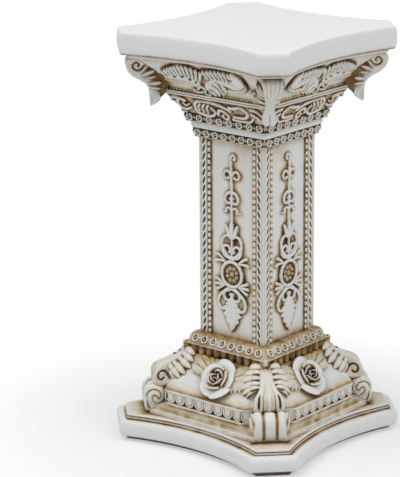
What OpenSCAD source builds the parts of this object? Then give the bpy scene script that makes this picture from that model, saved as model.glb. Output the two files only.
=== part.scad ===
// Decorative column: a square cast pedestal with a bowed plinth and slab,
// a carved base bell, a panelled shaft and a flared, scrolled capital.
// The castings are hollow and plug into each other with square spigots,
// and the carved trim is cast apart and seated on their faces.

/* [Slab] */
// Width of the slab across two opposite sides, at its corners
slab_w = 134; // [128:1:146]
// Length that each slab corner is cut off along a side
slab_cut = 13.5; // [8:0.5:18]
// Depth that each slab side bows in
slab_bow = 9; // [4:0.5:12]
// Thickness of the slab
slab_h = 13.8; // [10:0.2:20]
// Size of the eased slab edges
slab_ease = 1.2; // [0.6:0.1:2]

/* [Plinth] */
// Width of the bullnosed lower band
plinth_w = 146; // [144:1:156]
// Length that each plinth corner is cut off
plinth_cut = 20.4; // [14:0.2:26]
// Depth that each plinth side bows in
plinth_bow = 9.5; // [4:0.5:11]
// Height of the lower band
band_h = 10; // [8:0.5:14]
// Width of the reeded step above the band
step_w = 133; // [130:1:138]
// Length that each step corner is cut off
step_cut = 14.4; // [10:0.2:18]
// Height of the reeded step
step_h = 3.3; // [2.5:0.1:5]
// Thickness of the foot pad under the plinth
pad_h = 3; // [2:0.5:4]

/* [Base block] */
// Width of the straight box over its two rails
box_w = 108; // [104:1:112]
// Length that each box corner is cut off, where the lower volutes stand
box_cut = 24.4; // [22:0.1:26]
// Height of the plain cove under the lower rail
cove_h = 7.7; // [6:0.1:10]
// Height of each rail of the base frieze
rail_h = 1.2; // [0.8:0.1:2]
// Height of the tongue frieze between the rails
tongue_h = 7.2; // [5:0.1:9]
// Depth of the frieze behind the rails
frieze_depth = 1.4; // [1:0.1:2]
// Tongues in each frieze strip
tongue_count = 8; // [7:1:10]
// Height of the sloping bell over the box
bell_h = 20.4; // [18:0.2:24]
// Width of the flat top of the bell
bell_top_w = 68; // [66:1:72]

/* [Collars] */
// Height of the gadroon band
gadroon_h = 6; // [5:0.2:8]
// Tongues of the gadroon band on each side
gadroon_count = 10; // [8:1:16]
// Height of each band of rings
ring_band_h = 5.4; // [5:0.1:6.5]
// Rings in the bottom, middle and top rows, on each side
ring_count = 8; // [6:1:10]
// Height of the plain fillet between the two upper rows
fillet_h = 4.7; // [4:0.1:7]
// How far the trim stands out from its face
relief_t = 1.4; // [1:0.1:2]

/* [Shaft] */
// Width of the shaft over the corner mouldings
shaft_w = 51.2; // [48:0.2:54]
// Length of the shaft between the collars
shaft_len = 127; // [110:1:150]
// Wall of the hollow shaft
shaft_wall = 4; // [3:0.5:6]
// Width of each leg of a corner moulding
mould_w = 9.8; // [8:0.2:11]
// Slots of the braid along each leg
braid_count = 25; // [18:1:28]

/* [Capital] */
// Height of the lower, scrolled zone
scroll_zone_h = 12; // [10:0.5:15]
// Height of the rail over the lower zone
cap_rail_h = 2.5; // [2:0.1:4]
// Width over the rail
cap_rail_w = 83; // [80:1:86]
// Height of the flared upper zone
flare_h = 21; // [18:0.5:26]
// Height of the fillet under the slab
cap_fillet_h = 2.2; // [1.5:0.1:3]

/* [Joints] */
// Depth that each spigot reaches into its socket
spigot_h = 7.5; // [5:0.5:10]
// Clearance around each spigot and around the shaft in the collars
fit_gap = 0.3; // [0.2:0.05:0.5]

/* [Rose] */
// Width of each rose over its outer petals
rose_w = 25; // [22:1:28]

/* [Hidden] */

cast_colour = "#e4dfd5";
relief_colour = "#d8cdb8";
pad_colour = "#6f665e";
fine = 64;
side_steps = 8;

// Levels, from the surface that the column stands on
z_plinth = pad_h;
z_step = z_plinth + band_h;
z_box = z_step + step_h;
z_rail1 = z_box + cove_h;
z_frieze = z_rail1 + rail_h;
z_rail2 = z_frieze + tongue_h;
z_bell = z_rail2 + rail_h;
z_collar = z_bell + bell_h;
z_ring1 = z_collar + gadroon_h;
collar_lip = 0.6;
lower_collar_h = gadroon_h + ring_band_h + collar_lip;
z_shaft = z_collar + lower_collar_h;
z_upper = z_shaft + shaft_len;
z_fillet = z_upper + ring_band_h;
z_ring3 = z_fillet + fillet_h;
z_capital = z_ring3 + ring_band_h;
z_rail3 = z_capital + scroll_zone_h;
z_flare = z_rail3 + cap_rail_h;
z_cap_fillet = z_flare + flare_h;
z_slab = z_cap_fillet + cap_fillet_h;
total_h = z_slab + slab_h;

// Half widths, measured from the axis
slab_r = slab_w / 2;
plinth_r = plinth_w / 2;
step_r = step_w / 2;
box_r = box_w / 2;
bell_r = box_r - rail_h - 0.4;
bell_top_r = bell_top_w / 2;
shaft_r = shaft_w / 2;
core_r = shaft_r - relief_t;
pad_r = step_r;
cap_rail_r = cap_rail_w / 2;
ring1_low_r = bell_top_r - 2.4;
ring1_top_r = shaft_r + 3.3;
ring2_low_r = shaft_r + 1.6;
ring2_top_r = ring2_low_r + 1.4;
fillet_r = ring2_top_r + 1.2;
ring3_low_r = fillet_r + 1.2;
ring3_top_r = ring3_low_r + 1.6;
scroll_low_r = ring3_top_r - 0.4;
scroll_top_r = cap_rail_r - 1;
flare_low_r = cap_rail_r - 1.5;
cap_fillet_r = slab_r - 3.6;
flare_top_r = cap_fillet_r - 3.6;

// Distance from the axis to the flat that the cut corner of the box makes
box_corner = sqrt(2) * (box_r - box_cut / 2);
// The bell keeps a narrow flat up each corner, for the acanthus scroll
bell_top_cut = 6;
// Corner cut of the rail of the capital
cap_rail_cut = 3;
// Small slope that lets each rail leave its mould
draft = 0.2;

// Square plugs and sockets between the castings
plinth_socket_r = 40;
plug_wall = 4;
shaft_plug_r = 14;
shaft_plate = 4;
slab_plug_r = 32;

// Steps along each curled stroke of the relief
curl_steps = 11;

// Shared outlines and placing

// Outline of half width w with its corners cut off and its sides bowed in
module bowed_outline(w, cut, bow) {
    bow_r = ((w - cut) * (w - cut) + bow * bow) / (2 * bow);
    difference() {
        polygon([for (k = [0:3]) each [for (s = [-1, 1]) turned([s * (w - cut), -w], 90 * k)]]);
        for (k = [0:3])
            rotate([0, 0, 90 * k])
                translate([0, -w + bow - bow_r])
                    circle(r = bow_r, $fn = 4 * fine);
    }
}

// Point p turned about the origin by angle a
function turned(p, a) = [p[0] * cos(a) - p[1] * sin(a), p[0] * sin(a) + p[1] * cos(a)];

// Ring of points at height z: each side has n steps and bows in by bow
function side_ring(z, w, cut, bow, n) = [for (k = [0:3], i = [0:n])
    let (t = 2 * i / n - 1, q = turned([(w - cut) * t, -w + bow * (1 - t * t)], 90 * k))
    [q[0], q[1], z]];

// Solid that passes through the levels [z, half width, corner cut, bow], bottom to top
module lofted(levels, n) {
    m = 4 * (n + 1);
    last = len(levels) - 1;
    rings = [for (v = levels) each side_ring(v[0], v[1], v[2], v[3], n)];
    ends = [[0, 0, levels[0][0]], [0, 0, levels[last][0]]];
    low = m * (last + 1);
    walls = [for (j = [0:last - 1], i = [0:m - 1])
        let (a = j * m + i, b = j * m + (i + 1) % m)
        each [[a, a + m, b], [b, a + m, b + m]]];
    caps = [for (i = [0:m - 1])
        let (b = (i + 1) % m)
        each [[low, i, b], [low + 1, last * m + b, last * m + i]]];
    polyhedron(points = concat(rings, ends), faces = concat(walls, caps));
}

// Square block of half width w between two heights
module block(w, z0, z1) {
    translate([-w, -w, z0])
        cube([2 * w, 2 * w, z1 - z0]);
}

// Puts a front trim on side k: 0 front, 1 right, 2 back, 3 left. Neighbours mirror each other.
module on_side(k) {
    rotate([0, 0, 90 * k])
        mirror([k % 2, 0, 0])
            children();
}

// Lays flat trim, drawn in x and y with its back at z = 0, on the front face
// that runs from half width w0 at height z0 to half width w1 at height z1
module on_face(w0, z0, w1, z1) {
    translate([0, -w0, z0])
        rotate([90 - atan2(w0 - w1, z1 - z0), 0, 0])
            children();
}

// Slant length of that face
function slant(w0, z0, w1, z1) = norm([w1 - w0, z1 - z0]);

// Turns corner k so that x points out along the diagonal: 0 is front right
module on_corner(k) {
    rotate([0, 0, 90 * k - 45])
        children();
}

// Sweeps an outline drawn in distance from the axis and height, centred on the diagonal
module cheek(t) {
    translate([0, t / 2, 0])
        rotate([90, 0, 0])
            linear_extrude(t)
                children();
}

module both() {
    children();
    mirror([1, 0, 0])
        children();
}

// Curled strokes

// Heading at distance s along a stroke whose bend runs from k0 to k1 degrees per mm
function heading(a, l, k0, k1, s) = a + k0 * s + (k1 - k0) * s * s / (2 * l);

// Points of a stroke of length l that starts at p with heading a
function curl(p, a, l, k0, k1, n = curl_steps) = [for (i = 0, q = p; i <= n;
    q = q + l / n * unit(heading(a, l, k0, k1, l * (i + 0.5) / n)), i = i + 1) q];

function unit(a) = [cos(a), sin(a)];

// Point i of a path, moved sideways by w
function beside(pts, i, w) =
    let (d = pts[min(i + 1, len(pts) - 1)] - pts[max(i - 1, 0)])
    pts[i] + w / norm(d) * [-d[1], d[0]];

// Flat ribbon along a path, of half width w0 at its start and w1 at its end, with a round eye
module ribbon(pts, w0, w1, eye = 1) {
    n = len(pts) - 1;
    w = [for (i = [0:n]) w0 + (w1 - w0) * i / n];
    polygon(concat([for (i = [0:n]) beside(pts, i, w[i])],
                   [for (i = [n:-1:0]) beside(pts, i, -w[i])]));
    translate(pts[n])
        circle(r = w1 * eye, $fn = 14);
}

// Pointed leaf of length l and half width w, with teeth along its edge
module leaf(l, w, teeth = 5, bite = 0.16) {
    half = [for (i = [0:2 * teeth])
        let (t = i / (2 * teeth), edge = w * sin(180 * pow(t, 0.8)) * (1 - (i % 2) * bite))
        [l * t, edge]];
    polygon(concat(half, [for (i = [2 * teeth - 1:-1:1]) [half[i][0], -half[i][1]]]));
}

// Row of small C-shaped rings, n of them, each a share of a strip of length l
module ring_strip(l, h, n) {
    pitch = l / n;
    bar = 0.75;
    ring_r = min(pitch, h) / 2;
    linear_extrude(relief_t * 0.7) {
        for (i = [0:n - 1])
            translate([(i + 0.5) * pitch - l / 2, h / 2])
                difference() {
                    circle(r = ring_r + 0.05, $fn = 24);
                    circle(r = ring_r - bar, $fn = 24);
                }
        translate([-l / 2 + 0.2, 0])
            square([l - 0.4, bar]);
    }
}

// Castings

module foot_pad() {
    color(pad_colour)
        linear_extrude(pad_h)
            bowed_outline(pad_r, step_cut, slab_bow);
}

module plinth() {
    top = z_step;
    color(cast_colour)
        difference() {
            lofted([
                [z_plinth, plinth_r - 1.8, plinth_cut - 0.6, plinth_bow],
                [z_plinth + 1.2, plinth_r - 0.6, plinth_cut, plinth_bow],
                [z_plinth + 3, plinth_r, plinth_cut, plinth_bow],
                [top - 2.4, plinth_r, plinth_cut, plinth_bow],
                [top - 0.9, plinth_r - 0.6, plinth_cut, plinth_bow],
                [top - 0.2, plinth_r - 1.8, plinth_cut, plinth_bow],
                [top, plinth_r - 3.6, plinth_cut - 1, plinth_bow],
                [top, step_r - 0.6, step_cut, plinth_bow],
                [top + 0.3 * step_h, step_r, step_cut, plinth_bow],
                [top + 0.42 * step_h, step_r - 0.8, step_cut, plinth_bow],
                [top + 0.55 * step_h, step_r - 0.3, step_cut, plinth_bow],
                [z_box - 0.3, step_r - 0.4, step_cut, plinth_bow],
                [z_box, step_r - 1, step_cut, plinth_bow]], side_steps);
            block(plinth_socket_r, z_plinth - 1, z_box + 1);
        }
}

// Level of the base block, whose corners are all cut to the same flat
function box_level(z, w) = [z, w, 2 * w - sqrt(2) * box_corner, 0];

module base_shell() {
    lofted([
        box_level(z_box, box_r + 2.2),
        box_level(z_box + 0.3 * cove_h, box_r + 1.6),
        box_level(z_box + 0.4 * cove_h, box_r + 0.2),
        box_level(z_box + 0.7 * cove_h, box_r - 0.8),
        box_level(z_rail1 - draft, box_r - 0.8),
        box_level(z_rail1, box_r),
        box_level(z_frieze, box_r),
        box_level(z_frieze + draft, box_r - frieze_depth),
        box_level(z_rail2 - draft, box_r - frieze_depth),
        box_level(z_rail2, box_r),
        box_level(z_bell - draft, box_r),
        box_level(z_bell, bell_r),
        [z_collar, bell_top_r, bell_top_cut, 0]], 1);
}

module base_block() {
    plug_r = plinth_socket_r - fit_gap;
    color(cast_colour)
        difference() {
            union() {
                base_shell();
                block(plug_r, z_box - spigot_h, z_box);
            }
            block(plug_r - plug_wall, z_box - spigot_h - 1, z_rail2);
            block(bell_top_r - plug_wall, z_rail2 - 1, z_collar - spigot_h - 2);
            block(shaft_plug_r + fit_gap, z_collar - spigot_h - 3, z_collar + 1);
        }
}

module lower_collar() {
    pitch = 2 * bell_top_r / (gadroon_count + 1);
    rim_z = z_ring1 + ring_band_h;
    color(cast_colour)
        difference() {
            union() {
                translate([0, 0, z_collar])
                    linear_extrude(gadroon_h)
                        union() {
                            square(2 * bell_top_r - pitch, center = true);
                            for (k = [0:3], i = [0:gadroon_count])
                                rotate([0, 0, 90 * k])
                                    translate([(i - gadroon_count / 2) * pitch, -bell_top_r + pitch / 2])
                                        circle(r = pitch / 2, $fn = 20);
                        }
                lofted([
                    [z_ring1, ring1_low_r, 1, 0],
                    [rim_z, ring1_top_r, 1, 0],
                    [z_shaft, ring1_top_r - 0.6, 1, 0]], 1);
            }
            block(core_r + fit_gap, z_collar - 1, z_shaft + 1);
        }
}

module shaft_core() {
    plug_low = z_collar - spigot_h;
    color(cast_colour)
        difference() {
            union() {
                block(core_r, z_collar, z_capital);
                block(shaft_plug_r, plug_low, z_capital + spigot_h);
            }
            block(core_r - shaft_wall, z_collar + shaft_plate, z_capital - shaft_plate);
            block(shaft_plug_r - plug_wall, plug_low - 1, z_capital + spigot_h + 1);
        }
}

module upper_collar() {
    color(cast_colour)
        difference() {
            lofted([
                [z_upper, ring2_low_r, 1, 0],
                [z_fillet, ring2_top_r, 1, 0],
                [z_fillet + 0.15 * fillet_h, fillet_r - 0.5, 2, 0],
                [z_fillet + 0.45 * fillet_h, fillet_r, 2, 0],
                [z_fillet + 0.85 * fillet_h, fillet_r, 2, 0],
                [z_ring3, fillet_r - 0.6, 2, 0],
                [z_ring3, ring3_low_r, 1.5, 0],
                [z_capital, ring3_top_r, 1.5, 0]], 1);
            block(core_r + fit_gap, z_upper - 1, z_capital + 1);
        }
}

// Levels of the flared upper zone, from the rail to the fillet under the slab
function flare_level(t, out) = [z_flare + flare_h * t,
    flare_low_r + (flare_top_r - flare_low_r) * pow(t, 1.5) + out,
    cap_rail_cut + (slab_cut - cap_rail_cut - 1) * t + 0.4 * out,
    0.3 + (slab_bow - 1) * pow(t, 1.3)];
flare_rows = 4;

module bell_shell() {
    rail_mid = z_rail3 + cap_rail_h / 2;
    lofted(concat([
        [z_capital, scroll_low_r, 1.5, 0],
        [z_rail3, scroll_top_r, cap_rail_cut, 0],
        [z_rail3, cap_rail_r - draft, cap_rail_cut, 0],
        [rail_mid, cap_rail_r, cap_rail_cut, 0],
        [z_flare, cap_rail_r - draft, cap_rail_cut, 0]],
        [for (i = [0:flare_rows]) flare_level(i / flare_rows, 0)],
        [[z_cap_fillet, cap_fillet_r - 0.4, slab_cut - 0.4, slab_bow - 0.6],
        [z_slab, cap_fillet_r, slab_cut, slab_bow - 0.4]]), side_steps);
}

module capital_bell() {
    color(cast_colour)
        difference() {
            bell_shell();
            block(shaft_plug_r + fit_gap, z_capital - 1, z_flare);
            block(slab_plug_r - plug_wall, z_capital + spigot_h + 1, z_flare + 3);
            block(slab_plug_r, z_flare + 2, z_slab + 1);
        }
}

module top_slab() {
    plug_r = slab_plug_r - fit_gap;
    color(cast_colour) {
        translate([0, 0, z_slab])
            linear_extrude(slab_h)
                bowed_outline(slab_r - slab_ease, slab_cut - 0.4 * slab_ease, slab_bow);
        translate([0, 0, z_slab + slab_ease / 2])
            linear_extrude(slab_h - slab_ease)
                bowed_outline(slab_r - 0.3 * slab_ease, slab_cut - 0.1 * slab_ease, slab_bow);
        translate([0, 0, z_slab + slab_ease])
            linear_extrude(slab_h - 2 * slab_ease)
                bowed_outline(slab_r, slab_cut, slab_bow);
        difference() {
            block(plug_r, z_slab - spigot_h, z_slab + 1);
            block(plug_r - plug_wall, z_slab - spigot_h - 1, z_slab);
        }
    }
}

// Rows of rings, one strip to a side

module ring_row(w0, z0, w1, z1) {
    slope = slant(w0, z0, w1, z1);
    color(relief_colour)
        for (k = [0:3])
            on_side(k)
                on_face(w0, z0, w1, z1)
                    ring_strip(2 * min(w0, w1) - 2.4, slope, ring_count);
}

module ring_row_bottom() {
    ring_row(ring1_low_r, z_ring1, ring1_top_r, z_ring1 + ring_band_h);
}

module ring_row_middle() {
    ring_row(ring2_low_r, z_upper, ring2_top_r, z_fillet);
}

module ring_row_top() {
    ring_row(ring3_low_r, z_ring3, ring3_top_r, z_capital);
}

// Base ornament

// Half length of the straight part of a box face of half width w
function box_flat(w) = sqrt(2) * box_corner - w;

module frieze(k) {
    back_r = box_r - frieze_depth;
    strip_l = 2 * box_flat(back_r) - 0.6;
    pitch = strip_l / tongue_count;
    h = tongue_h - 2 * draft;
    color(relief_colour)
        on_side(k)
            on_face(back_r, z_frieze + draft, back_r, z_rail2) {
                translate([-strip_l / 2, 0])
                    linear_extrude(0.4 * frieze_depth)
                        square([strip_l, h]);
                linear_extrude(0.9 * frieze_depth)
                    for (i = [0:tongue_count - 1])
                        translate([(i + 0.5) * pitch - strip_l / 2, pitch / 2])
                            tongue(pitch / 2 - 0.1, h - pitch / 2);
            }
}

// Tongue with a round foot and a sunk rim, of half width r and straight height h
module tongue(r, h) {
    rim = 0.3 * r;
    difference() {
        intersection() {
            union() {
                circle(r = r, $fn = 20);
                translate([-r, 0])
                    square([2 * r, h]);
            }
            translate([-r, -r])
                square([2 * r, r + h]);
        }
        difference() {
            union() {
                circle(r = r - rim, $fn = 20);
                translate([rim - r, 0])
                    square([2 * (r - rim), h - rim]);
            }
            union() {
                circle(r = r - 2 * rim, $fn = 20);
                translate([2 * rim - r, 0])
                    square([2 * (r - 2 * rim), h - rim]);
            }
        }
    }
}

// Spiral outline in distance from the axis and height
function spiral(c, r0, r1, a0, a1, n) = [for (i = [0:n])
    c + (r0 + (r1 - r0) * i / n) * unit(a0 + (a1 - a0) * i / n)];

// Width of the rolls on the corners
volute_w = 21.4;

// Spiral groove in each cheek of a roll: its depth, half width and the eye that it ends round
spiral_depth = 1.2;
spiral_half_w = 0.5;
spiral_eye_r = 1.5;

// Cuts the spiral groove, from radius r0 and angle a0 to angle a1, into cheeks t off the diagonal
module cheek_spirals(c, r0, a0, a1, t) {
    for (s = [-1, 1])
        translate([0, s * t, 0])
            cheek(2 * spiral_depth)
                ribbon(spiral(c, r0, spiral_eye_r, a0, a1, 15), spiral_half_w, spiral_half_w);
}

// Lower volute: a roll that stands on the step against the cut corner of the box
module volute(k) {
    roll_c = [box_corner + 4.1, z_box + 9.2];
    roll_r = 9.9;
    eye_c = [box_corner + 6.7, z_box + 11.7];
    color(relief_colour)
        on_corner(k)
            difference() {
                cheek(volute_w)
                    polygon(concat([[box_corner, z_box], [box_corner + 11.5, z_box]],
                        [for (a = [-48:16:48]) roll_c + roll_r * unit(a)],
                        [[box_corner + 8, z_bell], [box_corner, z_bell]]));
                cheek_spirals(eye_c, 0.6 * roll_r, -30, 330, volute_w / 2);
                cheek(volute_w / 3)
                    difference() {
                        translate([box_corner, z_box - 1])
                            square([20, 30]);
                        translate(roll_c)
                            circle(r = roll_r - 1, $fn = fine);
                        translate([box_corner - 1, z_box - 2])
                            square([12, 30]);
                    }
            }
}

// How far the leaf stands out from the bell, and the depth of the notches in its edge
leaf_t = 1.8;
lobe_bite = 0.16;

// Acanthus scroll that runs down the corner of the bell and curls out over the volute
module acanthus(k) {
    eye_c = [box_corner + 2.2, z_bell + 6.4];
    roll_r = 6.1;
    color(relief_colour)
        on_corner(k)
            difference() {
                union() {
                    intersection() {
                        cheek(30)
                            union() {
                                translate(eye_c)
                                    circle(r = roll_r, $fn = fine);
                                polygon([eye_c + [-12, 0], eye_c + [0, 0], eye_c + roll_r * unit(62),
                                    [box_corner - 2.8, z_bell + 14.9], [box_corner - 8.7, z_bell + 16.4],
                                    [box_corner - 10.7, z_collar], [box_corner - 19, z_collar]]);
                            }
                        leaf_front(10.5, 0.7 * lobe_bite);
                    }
                    intersection() {
                        rotate([0, 0, 45])
                            lofted([
                                box_level(z_bell, bell_r + leaf_t),
                                [z_collar, bell_top_r + leaf_t, bell_top_cut, 0]], 1);
                        leaf_front(13, lobe_bite);
                    }
                }
                rotate([0, 0, 45])
                    base_shell();
                translate([0, 0, z_bell - 20])
                    cube([300, 300, 40], center = true);
                cheek_spirals(eye_c, roll_r * 2 / 3, 120, -300, 8.6);
            }
}

// Front outline of the acanthus leaf, drawn across the corner: half width w, with
// notches between its lobes that take the share bite of that width
module leaf_front(w, bite) {
    n = 10;
    half = [for (i = [0:n])
        let (t = i / n, full = w * (0.28 + 0.72 * sin(90 * min(1, 1.5 * (1 - t)))))
        [full * (1 - (i % 2) * bite) * (i < 2 ? 0.8 : 1), z_bell + t * bell_h]];
    translate([30, 0, 0])
        rotate([90, 0, 90])
            linear_extrude(60)
                polygon(concat(half, [for (i = [n:-1:0]) [-half[i][0], half[i][1]]]));
}

// Where the rose sits on the slope of the bell
rose_x = 4.8;
rose_y = 14;

module on_bell() {
    on_face(bell_r, z_bell, bell_top_r, z_collar)
        children();
}

// Curved petal: a standing wall along an arc of radius r, from angle turn over the angle sweep_a
module petal(r, h, turn, sweep_a, wall) {
    n = 8;
    arc = [for (i = [0:n]) unit(turn + sweep_a * i / n)];
    linear_extrude(h)
        polygon(concat((r + wall) * arc, [for (i = [n:-1:0]) r * arc[i]]));
}

module rose(k) {
    r = rose_w / 2;
    wall = 0.08 * r;
    color(relief_colour)
        on_side(k)
            on_bell()
                translate([rose_x, rose_y, 0]) {
                    linear_extrude(1.4)
                        circle(r = 0.94 * r, $fn = 32);
                    linear_extrude(3.2)
                        circle(r = 0.64 * r, $fn = 32);
                    for (i = [0:4])
                        rotate([0, 0, 72 * i])
                            translate([0.1 * r, 0, 0])
                                petal(0.8 * r, 3.8, -42, 84, 1.4 * wall);
                    for (i = [0:3])
                        petal(0.6 * r, 5.4, 90 * i + 20, 78, wall);
                    for (i = [0:2])
                        petal(0.36 * r, 6.6, 120 * i, 104, wall);
                    petal(0.13 * r, 6.9, 30, 280, wall);
                }
}

// Two ribbed leaves that spread from behind the rose
module rose_leaves(k) {
    color(relief_colour)
        on_side(k)
            on_bell()
                difference() {
                    union() {
                        translate([rose_x - 6, rose_y + 2])
                            rotate([0, 0, 152])
                                ribbed_leaf(15, 6.4);
                        translate([rose_x + 8, rose_y])
                            rotate([0, 0, 32])
                                ribbed_leaf(16, 6);
                    }
                    translate([rose_x, rose_y, -1])
                        cylinder(r = rose_w / 2 + 0.15, h = 10, $fn = fine);
                }
}

module ribbed_leaf(l, w) {
    linear_extrude(1)
        leaf(l, w);
    linear_extrude(1.7) {
        ribbon([[0, 0], [l / 2, 0.2], [0.95 * l, 0]], 0.5, 0.25);
        for (i = [1:3], s = [-1, 1])
            ribbon([[i * l / 5, 0], [(i + 1) * l / 5, s * w * 0.3],
                [(i + 1.6) * l / 5, s * w * 0.62]], 0.35, 0.2);
    }
}

// Shaft ornament

// Angle moulding on one corner of the shaft, with a braid and a scalloped bead edge on each leg
module moulding(k) {
    color(relief_colour)
        rotate([0, 0, 90 * k]) {
            moulding_leg();
            mirror([1, 1, 0])
                moulding_leg();
        }
}

// One leg, on the front face, running to the front right corner
module moulding_leg() {
    pitch = shaft_len / braid_count;
    slot = [0.9, 0.62 * pitch];
    inner = shaft_r - mould_w;
    edge = 1.6;
    translate([0, -core_r, z_shaft])
        rotate([90, 0, 0])
            linear_extrude(relief_t)
                difference() {
                    union() {
                        translate([inner, 0])
                            square([mould_w, shaft_len]);
                        for (i = [0:braid_count - 1])
                            translate([inner, (i + 0.5) * pitch])
                                circle(d = 0.8 * pitch, $fn = 14);
                    }
                    for (i = [0:braid_count - 1])
                        translate([shaft_r - edge - mould_w / 3, (i + 0.5) * pitch])
                            rotate([0, 0, -32])
                                square(slot, center = true);
                }
}

// Candelabra of scrolls and a rosette medallion, drawn up the middle of a shaft panel
panel_len = 114;
panel_margin = 13;
panel_fit = (shaft_len - panel_margin) / panel_len;
medallion_y = 36.4;

module panel(k) {
    color(relief_colour)
        on_side(k)
            translate([0, -core_r, z_shaft + panel_margin / 2 - 1])
                rotate([90, 0, 0]) {
                    linear_extrude(relief_t)
                        offset(delta = 0.01)
                            scale([1, panel_fit])
                                panel_scrolls();
                    linear_extrude(0.45 * relief_t)
                        translate([0, panel_fit * medallion_y])
                            circle(r = 7.4, $fn = fine);
                    linear_extrude(0.9 * relief_t)
                        translate([0, panel_fit * medallion_y])
                            rosette();
                }
}

// Nine beads of the medallion: one in the middle and eight round it
module rosette() {
    circle(r = 1.3, $fn = 16);
    for (i = [0:7])
        rotate([0, 0, 45 * i])
            translate([3.7, 0])
                circle(r = 1.05, $fn = 14);
}

module panel_scrolls() {
    translate([0, medallion_y])
        difference() {
            scale([0.97, 1])
                circle(r = 9.1, $fn = 40);
            scale([0.97, 1])
                circle(r = 6.8, $fn = 40);
        }
    both() {
        // Hanging leaf
        polygon([[-0.1, 19.6], [4, 17.2], [6.5, 13.6], [6.6, 10.5], [5.4, 9.7], [5.6, 7.5],
            [4.2, 6.8], [4, 4.5], [2.6, 3.9], [1.8, 1.5], [-0.1, 0]]);
        // Lower lyre and its inner scroll
        ribbon(curl([0.8, 27.1], -28, 27, 2, -21), 0.9, 0.7, 1.5);
        ribbon(curl([0.6, 26.8], 8, 19, -9, -24), 0.9, 0.7, 1.5);
        // Leaves on both sides of the medallion
        for (a = [28, 2, -24])
            ribbon(curl([5, 29.2], a - 6, 7.6, 0, 0, 2), 0.7, 0.9);
        for (a = [-8, 30])
            ribbon(curl([5.5, 44], a + 14, 7.4, 0, -8, 3), 0.6, 0.9);
        // Upper lyre and its inner scroll
        ribbon(curl([0.8, 46.2], 40, 22.5, -1, 17), 0.9, 0.7, 1.5);
        ribbon(curl([1, 47.3], -14, 19, 9, 24), 0.9, 0.7, 1.5);
        // Leaf cup
        translate([2.9, 64.5])
            rotate(-25)
                scale([0.58, 1])
                    circle(r = 3.3, $fn = 16);
        // Curls on the stem
        ribbon(curl([0.2, 77.5], 55, 7, -12, -40), 0.7, 0.5, 1.4);
        ribbon(curl([3.4, 77.5], -40, 3.6, -5, 40, 4), 0.5, 0.4);
        // Heart
        ribbon(curl([-0.1, 89], -4, 16.4, -6, -31), 0.9, 0.6, 1.5);
        ribbon(curl([0.7, 99.8], 82, 13, -19, -28), 0.8, 0.6, 1.4);
    }
    translate([0, 61])
        scale([1, 0.6])
            circle(r = 3, $fn = 16);
    translate([0, 65])
        scale([0.68, 1])
            circle(r = 3.4, $fn = 16);
    // Stem and hooked finial
    ribbon([[0, 44.6], [0, 60]], 0.7, 0.7);
    ribbon([[0, 67], [0, 83.4]], 0.8, 0.8);
    ribbon([[0, 89], [-0.4, 104], [-0.8, 110.6]], 0.9, 0.8);
    ribbon(curl([-0.8, 110.4], 90, 7, -22, -48), 0.8, 0.6, 1.6);
}

// Capital ornament

// Scrolls of the lower zone, drawn on a strip that runs up from y = 0
scroll_design_h = 12;

module scroll_frieze(k) {
    face_h = slant(scroll_low_r, z_capital, scroll_top_r, z_rail3);
    color(relief_colour)
        on_side(k)
            on_face(scroll_low_r, z_capital, scroll_top_r, z_rail3)
                linear_extrude(relief_t)
                    offset(delta = 0.01)
                        scale([1, face_h / scroll_design_h])
                            frieze_scrolls();
}

module frieze_scrolls() {
    // Ground line that ties the scrolls together
    translate([-29, 0.4])
        square([58, 1]);
    // Left leaf and hook
    ribbon(curl([-27, 10.2], 175, 13, 0, 26), 0.9, 1.1);
    ribbon(curl([-18.8, 4.2], 162, 21, -8, 32), 1, 0.7, 1.5);
    // Fan of strokes inside the left scroll
    for (i = [0:2])
        ribbon(curl([-16 + 3.2 * i, 2], 95 - 10 * i, 7.6, -8, -14, 5), 0.6, 0.7);
    ribbon(curl([-18.6, 4.6], -70, 24, 8, 20), 0.9, 0.7, 1.5);
    // Round scroll on the right of the fan
    ribbon(curl([-5, 8], 30, 25, -8, -19), 0.9, 0.7, 1.5);
    // Long leaf over both that dips into the spade-shaped right scroll
    ribbon(curl([-18.6, 4.2], 85, 29, -9.5, 2.5), 0.9, 1);
    ribbon(curl([6.6, 7.4], 8, 26, 6, -24), 1, 0.7, 1.6);
    ribbon(curl([4.6, 4.6], -3, 15, 0, 0, 3), 0.7, 0.9);
}

// Palmette wings and the shell between them, drawn on a strip of this height
palmette_h = 21;
palmette_t = 1.6;
// Glue line behind the trim on the curved flare
seat_gap = 0.05;

module palmette(k) {
    color(relief_colour)
        rotate([0, 0, 90 * k])
            difference() {
                intersection() {
                    translate([0, 0, z_flare])
                        rotate([90, 0, 0])
                            linear_extrude(slab_r)
                                offset(delta = 0.01)
                                    scale([1, flare_h / palmette_h])
                                        mirror([k % 2, 0, 0])
                                            palmette_front();
                    flare_skin(palmette_t);
                }
                flare_skin(seat_gap);
            }
}

// Skin that stands out from the flared zone
module flare_skin(out) {
    lofted([for (i = [0:flare_rows]) flare_level(i / flare_rows, out)], side_steps);
}

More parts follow.
